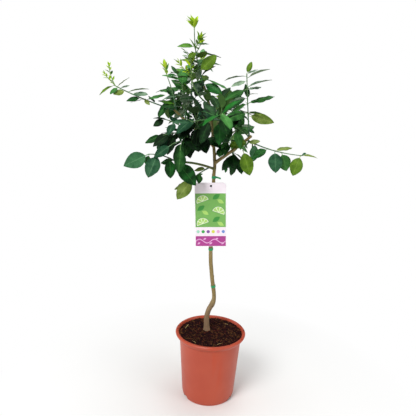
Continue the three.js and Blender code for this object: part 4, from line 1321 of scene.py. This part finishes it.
tape = {
    "heights": {"tie_low": 314, "tie_middle": 420, "tie_top": 610}, "height": 6.5, "thick": 0.9, "gap": 0.3,
    "sides": 72, "rows": 6, "wrinkle": 0.28, "lap": 70, "lapThick": 0.35, "tail": 14, "tailHeight": 5,
    "tailThick": 0.5, "tailTaper": 0.25, "tailDroop": 8, "tailSteps": 10,
    "finish": ("#0f8048", "#1fa060", 240.0, 3.0, (0.3, 0.7), 0.38, (1.0, 3.0, 0.0004, 0.5, (900, 900, 250))),
}


def trunkAt(height):
    # centre, direction as a turn, and radius of the trunk at a height
    line = limbs["trunk"]
    low, high = 0.0, 1.0
    for _ in range(30):
        middle = (low + high) / 2
        low, high = (middle, high) if line.even(middle).z < height else (low, middle)
    ahead = line.even(min(low + 0.01, 1)) - line.even(low - 0.01)
    turn = Vector((0, 0, 1)).rotation_difference(ahead).to_matrix()
    return line.even(low), turn, listed(trunk["radius"], low)


def makeTape():
    shape = Shape()
    rows, steps = tape["rows"], tape["tailSteps"]
    section = [(1.0, i / rows - 0.5) for i in range(rows + 1)]
    section += [(0.0, 0.5 - i / rows) for i in range(rows + 1)]
    for number, height in enumerate(tape["heights"].values()):
        centre, turn, radius = trunkAt(height)
        corners = []
        for angle in around(tape["sides"]):
            lap = tape["lapThick"] if math.degrees(angle) < tape["lap"] else 0.0
            edge = noise.noise(Vector((angle * 1.7, number * 5, 3.1))) * 0.5
            for out, up in section:
                rough = noise.noise(Vector((angle * 2.5 + number * 9, up * 5, out))) * tape["wrinkle"]
                thick = tape["thick"] * 0.55 + lap + rough + 0.2 * math.cos(up * 3)
                reach = radius + tape["gap"] + out * thick
                spot = Vector((math.cos(angle) * reach, math.sin(angle) * reach, up * tape["height"] + edge))
                corners.append(centre + turn @ spot)
        shape.add(corners, quads(tape["sides"], len(section), closed=True))
    centre, turn, radius = trunkAt(tape["heights"]["tie_top"])
    corners = []
    for t in (i / steps for i in range(steps + 1)):  # the free end of the top tie
        x = centre.x + radius + 0.2 + t * tape["tail"] * 0.98
        z = centre.z - math.tan(math.radians(tape["tailDroop"])) * t * tape["tail"] + 0.5 * math.sin(t * 5)
        y = centre.y + 0.5 * math.sin(t * 4)
        thin, half = tape["tailThick"] / 2, tape["tailHeight"] / 2 * (1 - tape["tailTaper"] * t)
        for dy, dz in ((-thin, -half), (thin, -half), (thin, half), (-thin, half)):
            corners.append((x, y + dy, z + dz))
    shape.add(*capped(corners, 4))
    keep(newPiece("plantTape", shape.mesh("plantTape"), {"plant tape": cloudy(*tape["finish"])}),
         tape["heights"], 40)


# Label: a card with a printed lime pattern, and the pin that holds it

card = {
    "width": 79, "height": 167, "thick": 0.9, "corner": 9, "hole": 4.6, "lean": 3,
    "middle": (-14.6, -13, 515), "bevel": 0.15, "ink": 0.12,
    "finish": ("#ecdfe8", "#f2e9f0", 30.0, 2.0, (0.3, 0.7), 0.32, (500.0, 2.0, 0.0001, 0.3)),
}
pin = {
    "x": -17, "height": 590, "ring": 3.2, "thick": 1.6, "stud": 1.3, "head": 2.8, "headThick": 1.4,
    "gap": 0.3, "sides": 48,
    "finish": ("#1b1b1c", "#343436", 400.0, 3.0, (0, 1), 0.4, (1500.0, 2.0, 0.0002, 0.3)),
}
cardPrint = {
    "panel": (-32, 56), "strip": (-56, -32), "band": (-82.6, -56), "margin": 0.9,
    "slice": 17.5, "rows": 3, "columns": 2, "dot": 4.2,
    "dots": ["sky", "fresh", "purple", "yellow", "rose", "blue"],
    "leaves": [(-5, 6, 23, 35, "leaf"), (6, -6, 19, -30, "flesh")],  # place, length, turn and ink
    "wave": 5, "waveThick": 2.6, "sprigs": 5, "sprig": 9,
}
inks = {
    "green": "#76b058", "rind": "#2f8a34", "pith": "#e2eecb", "flesh": "#a9d36c", "leaf": "#3c8f3a",
    "magenta": "#ac3a8c", "rose": "#e3a8d6", "blue": "#6f8fd0", "purple": "#7d4a9c", "yellow": "#d3d94a",
    "fresh": "#35a848", "sky": "#a7e0c4",
}


def inkSkin(code):
    def shade(tree, where, shader):
        colour = linear(code)
        dot = maths(tree, "MULTIPLY", noisy(tree, where, 900.0, 2.0), 0.35)
        grain = maths(tree, "ADD", dot, maths(tree, "MULTIPLY", noisy(tree, where, 35.0, 2.0), 0.65))
        dark = tuple(part * 0.84 for part in colour[:3]) + (1.0,)
        finish(tree, shader, mixed(tree, ranged(tree, grain, 0, 1, 0.35, 0.62), dark, colour), 0.3)
    return shade


# From card sizes (across, out of the face, up) to the scene
onCard = Matrix.Translation(card["middle"]) @ Matrix.Rotation(-math.radians(card["lean"]), 4, "Y")


def makeCard():
    half, top, corner = card["width"] / 2, card["height"] / 2, card["corner"]
    outline = [(-half, -top), (half, -top)]
    for side in (0, 1):
        outline += arc((1 - 2 * side) * (half - corner), top - corner, corner, 90 * side, 90 * side + 90)
    hole = onCard.inverted() @ Vector((pin["x"], card["middle"][1], pin["height"]))
    shape = bpy.data.curves.new("cardShape", "CURVE")
    shape.dimensions = "2D"
    shape.fill_mode = "BOTH"
    shape.extrude = card["thick"] / 2 - card["bevel"]
    shape.bevel_depth = card["bevel"]
    shape.bevel_resolution = 2
    shape.offset = -card["bevel"]
    for points in (outline, arc(hole.x, hole.z, card["hole"] / 2, 360, 0, 24)[:-1]):
        spline = shape.splines.new("POLY")
        spline.points.add(len(points) - 1)
        for point, (x, y) in zip(spline.points, points):
            point.co = (x, y, 0, 1)
        spline.use_cyclic_u = True
    blank = newObject("cardShape", shape)
    mesh = evaluated(blank)
    bpy.data.objects.remove(blank)
    mesh.transform(Matrix.Scale(mm, 4) @ onCard @ Matrix.Rotation(math.radians(90), 4, "X"))
    piece = newPiece("labelCard", facingOut(mesh, 2e-6), {"card": cloudy(*card["finish"])})
    mesh.polygons.foreach_set("material_index", [0] * len(mesh.polygons))
    keep(piece, ["label"], 35)


class Print(Shape):
    # flat shapes on the card's face, each a thin closed plate with an ink
    def __init__(self):
        super().__init__()
        self.tones = []

    def stamp(self, outline, ink, layer=0):
        face = -card["thick"] / 2 - card["ink"] * layer
        front, back = ([Vector((x, y, z)) for x, z in outline] for y in (face - card["ink"], face + 0.1))
        self.add(*plate(front, back))
        self.tones += [list(inks).index(ink)] * (len(outline) + 2)

    def stampTurned(self, points, x, z, turn, ink, layer):
        c, s = math.cos(turn), math.sin(turn)
        self.stamp([(x + a * c - b * s, z + a * s + b * c) for a, b in points], ink, layer)


def limeSlice(sheet, x, z, radius, turn):
    # half a slice: rind, pith and four segments
    sheet.stampTurned(arc(0, 0, radius, 0, 180, 18), x, z, turn, "rind", 1)
    sheet.stampTurned(arc(0, 0.7, radius - 1.4, 0, 180, 18), x, z, turn, "pith", 2)
    for i in range(4):
        start, end = 45 * i + 5, 45 * i + 40
        base = arc(0, 1.5, 1.8, (start + end) / 2, 0, 1)[:1]
        sheet.stampTurned(base + arc(0, 1.5, radius - 3.6, start, end, 6), x, z, turn, "flesh", 3)


def leafPrint(sheet, x, z, length, turn, ink, layer):
    upper = [(length * (i / 8 - 0.5), 0.26 * length * math.sin(math.pi * i / 8)) for i in range(9)]
    lower = [(a, -b) for a, b in upper[7:0:-1]]
    sheet.stampTurned(upper + lower, x, z, math.radians(turn), ink, layer)


def makePrint():
    sheet = Print()
    half = card["width"] / 2 - cardPrint["margin"]
    for part, ink in (("panel", "green"), ("band", "magenta")):
        low, high = cardPrint[part]
        sheet.stamp([(-half, low), (half, low), (half, high), (-half, high)], ink)
    low, high = cardPrint["panel"]
    rows, columns = cardPrint["rows"], cardPrint["columns"]
    wide, tall = 2 * half / columns, (high - low) / rows
    for row in range(rows):
        for column in range(columns):
            x, z = -half + wide * (column + 0.5), low + tall * (row + 0.5)
            if (row + column) % 2:
                for across, up, length, turn, ink in cardPrint["leaves"]:
                    leafPrint(sheet, x + across, z + up, length, turn, ink, 1)
            else:
                turn = math.radians(20 - 40 * (row % 2))
                limeSlice(sheet, x, z - 7, min(cardPrint["slice"], wide / 2 - 1), turn)
    low, high = cardPrint["strip"]
    dots = cardPrint["dots"]
    for i, ink in enumerate(dots):
        x = -half + 2 * half * (i + 0.5) / len(dots)
        sheet.stamp(arc(x, (low + high) / 2, cardPrint["dot"], 0, 360, 16)[:-1], ink)
    low, high = cardPrint["band"]
    middle, rise, thick = (low + high) / 2, cardPrint["wave"], cardPrint["waveThick"] / 2
    wave = [(-half + 2 * half * i / 40, middle + rise * math.sin(i / 40 * math.pi * 4)) for i in range(41)]
    sheet.stamp([(x, z - thick) for x, z in wave] + [(x, z + thick) for x, z in reversed(wave)], "rose", 1)
    for i in range(cardPrint["sprigs"]):
        x = -half + 2 * half * (i + 0.5) / cardPrint["sprigs"]
        leafPrint(sheet, x, middle - 6 * math.cos(i * math.pi), cardPrint["sprig"], 30, "rose", 2)
    mesh = newMesh("labelPrint", [onCard @ corner for corner in sheet.corners], sheet.faces, smooth=False)
    piece = newPiece("labelPrint", mesh, {"ink " + name: inkSkin(code) for name, code in inks.items()})
    mesh.polygons.foreach_set("material_index", sheet.tones)
    keep(piece, ["label"])


def makePin():
    shape = Shape()
    centre, turn, radius = trunkAt(pin["height"])
    inner, thick, half = radius + pin["gap"], pin["thick"], pin["ring"] / 2
    soft = min(thick, pin["ring"]) * 0.35
    section = []  # the ring's rounded section, as (radius, height)
    for r, z, start in ((inner + thick - soft, half - soft, 0), (inner + soft, half - soft, 90),
                        (inner + soft, soft - half, 180), (inner + thick - soft, soft - half, 270)):
        section += arc(r, z, soft, start, start + 90, 3)
    corners = [centre + turn @ Vector((r * math.cos(angle), r * math.sin(angle), z))
               for angle in around(pin["sides"]) for r, z in section]
    shape.add(corners, quads(pin["sides"], len(section), closed=True))
    front = card["middle"][1] - card["thick"] / 2 - 0.1
    start = Vector((centre.x, centre.y - radius - pin["gap"] - 0.6, pin["height"]))
    end = Vector((pin["x"], front - pin["headThick"] / 2, pin["height"]))
    line = bowed(start, end, Vector((pin["x"], start.y, pin["height"])) - (start + end) / 2)
    shape.add(*rod([line.even(i / 10) for i in range(11)], pin["stud"], 16))
    high, wide = pin["headThick"], pin["head"]
    dome = [(high * math.sin(a), wide * math.cos(a) ** 0.6) for a in (0.3, 0.7, 1.0, 1.25, 1.42)]
    corners, faces = turned([(0, 0), (0, wide), *dome, (high, 0)], 32)
    shape.add([(x + pin["x"], front + 0.02 - z, y + pin["height"]) for x, y, z in corners], faces)
    keep(newPiece("labelPin", shape.mesh("labelPin"), {"pin": cloudy(*pin["finish"])}),
         ["label_pin"], 50)


for make in (makeCamera, makeLamps, makeFloor, makePot, makeCompost, makeLitter, makeBark, growTree,
             makeTape, makeCard, makePrint, makePin):
    make()
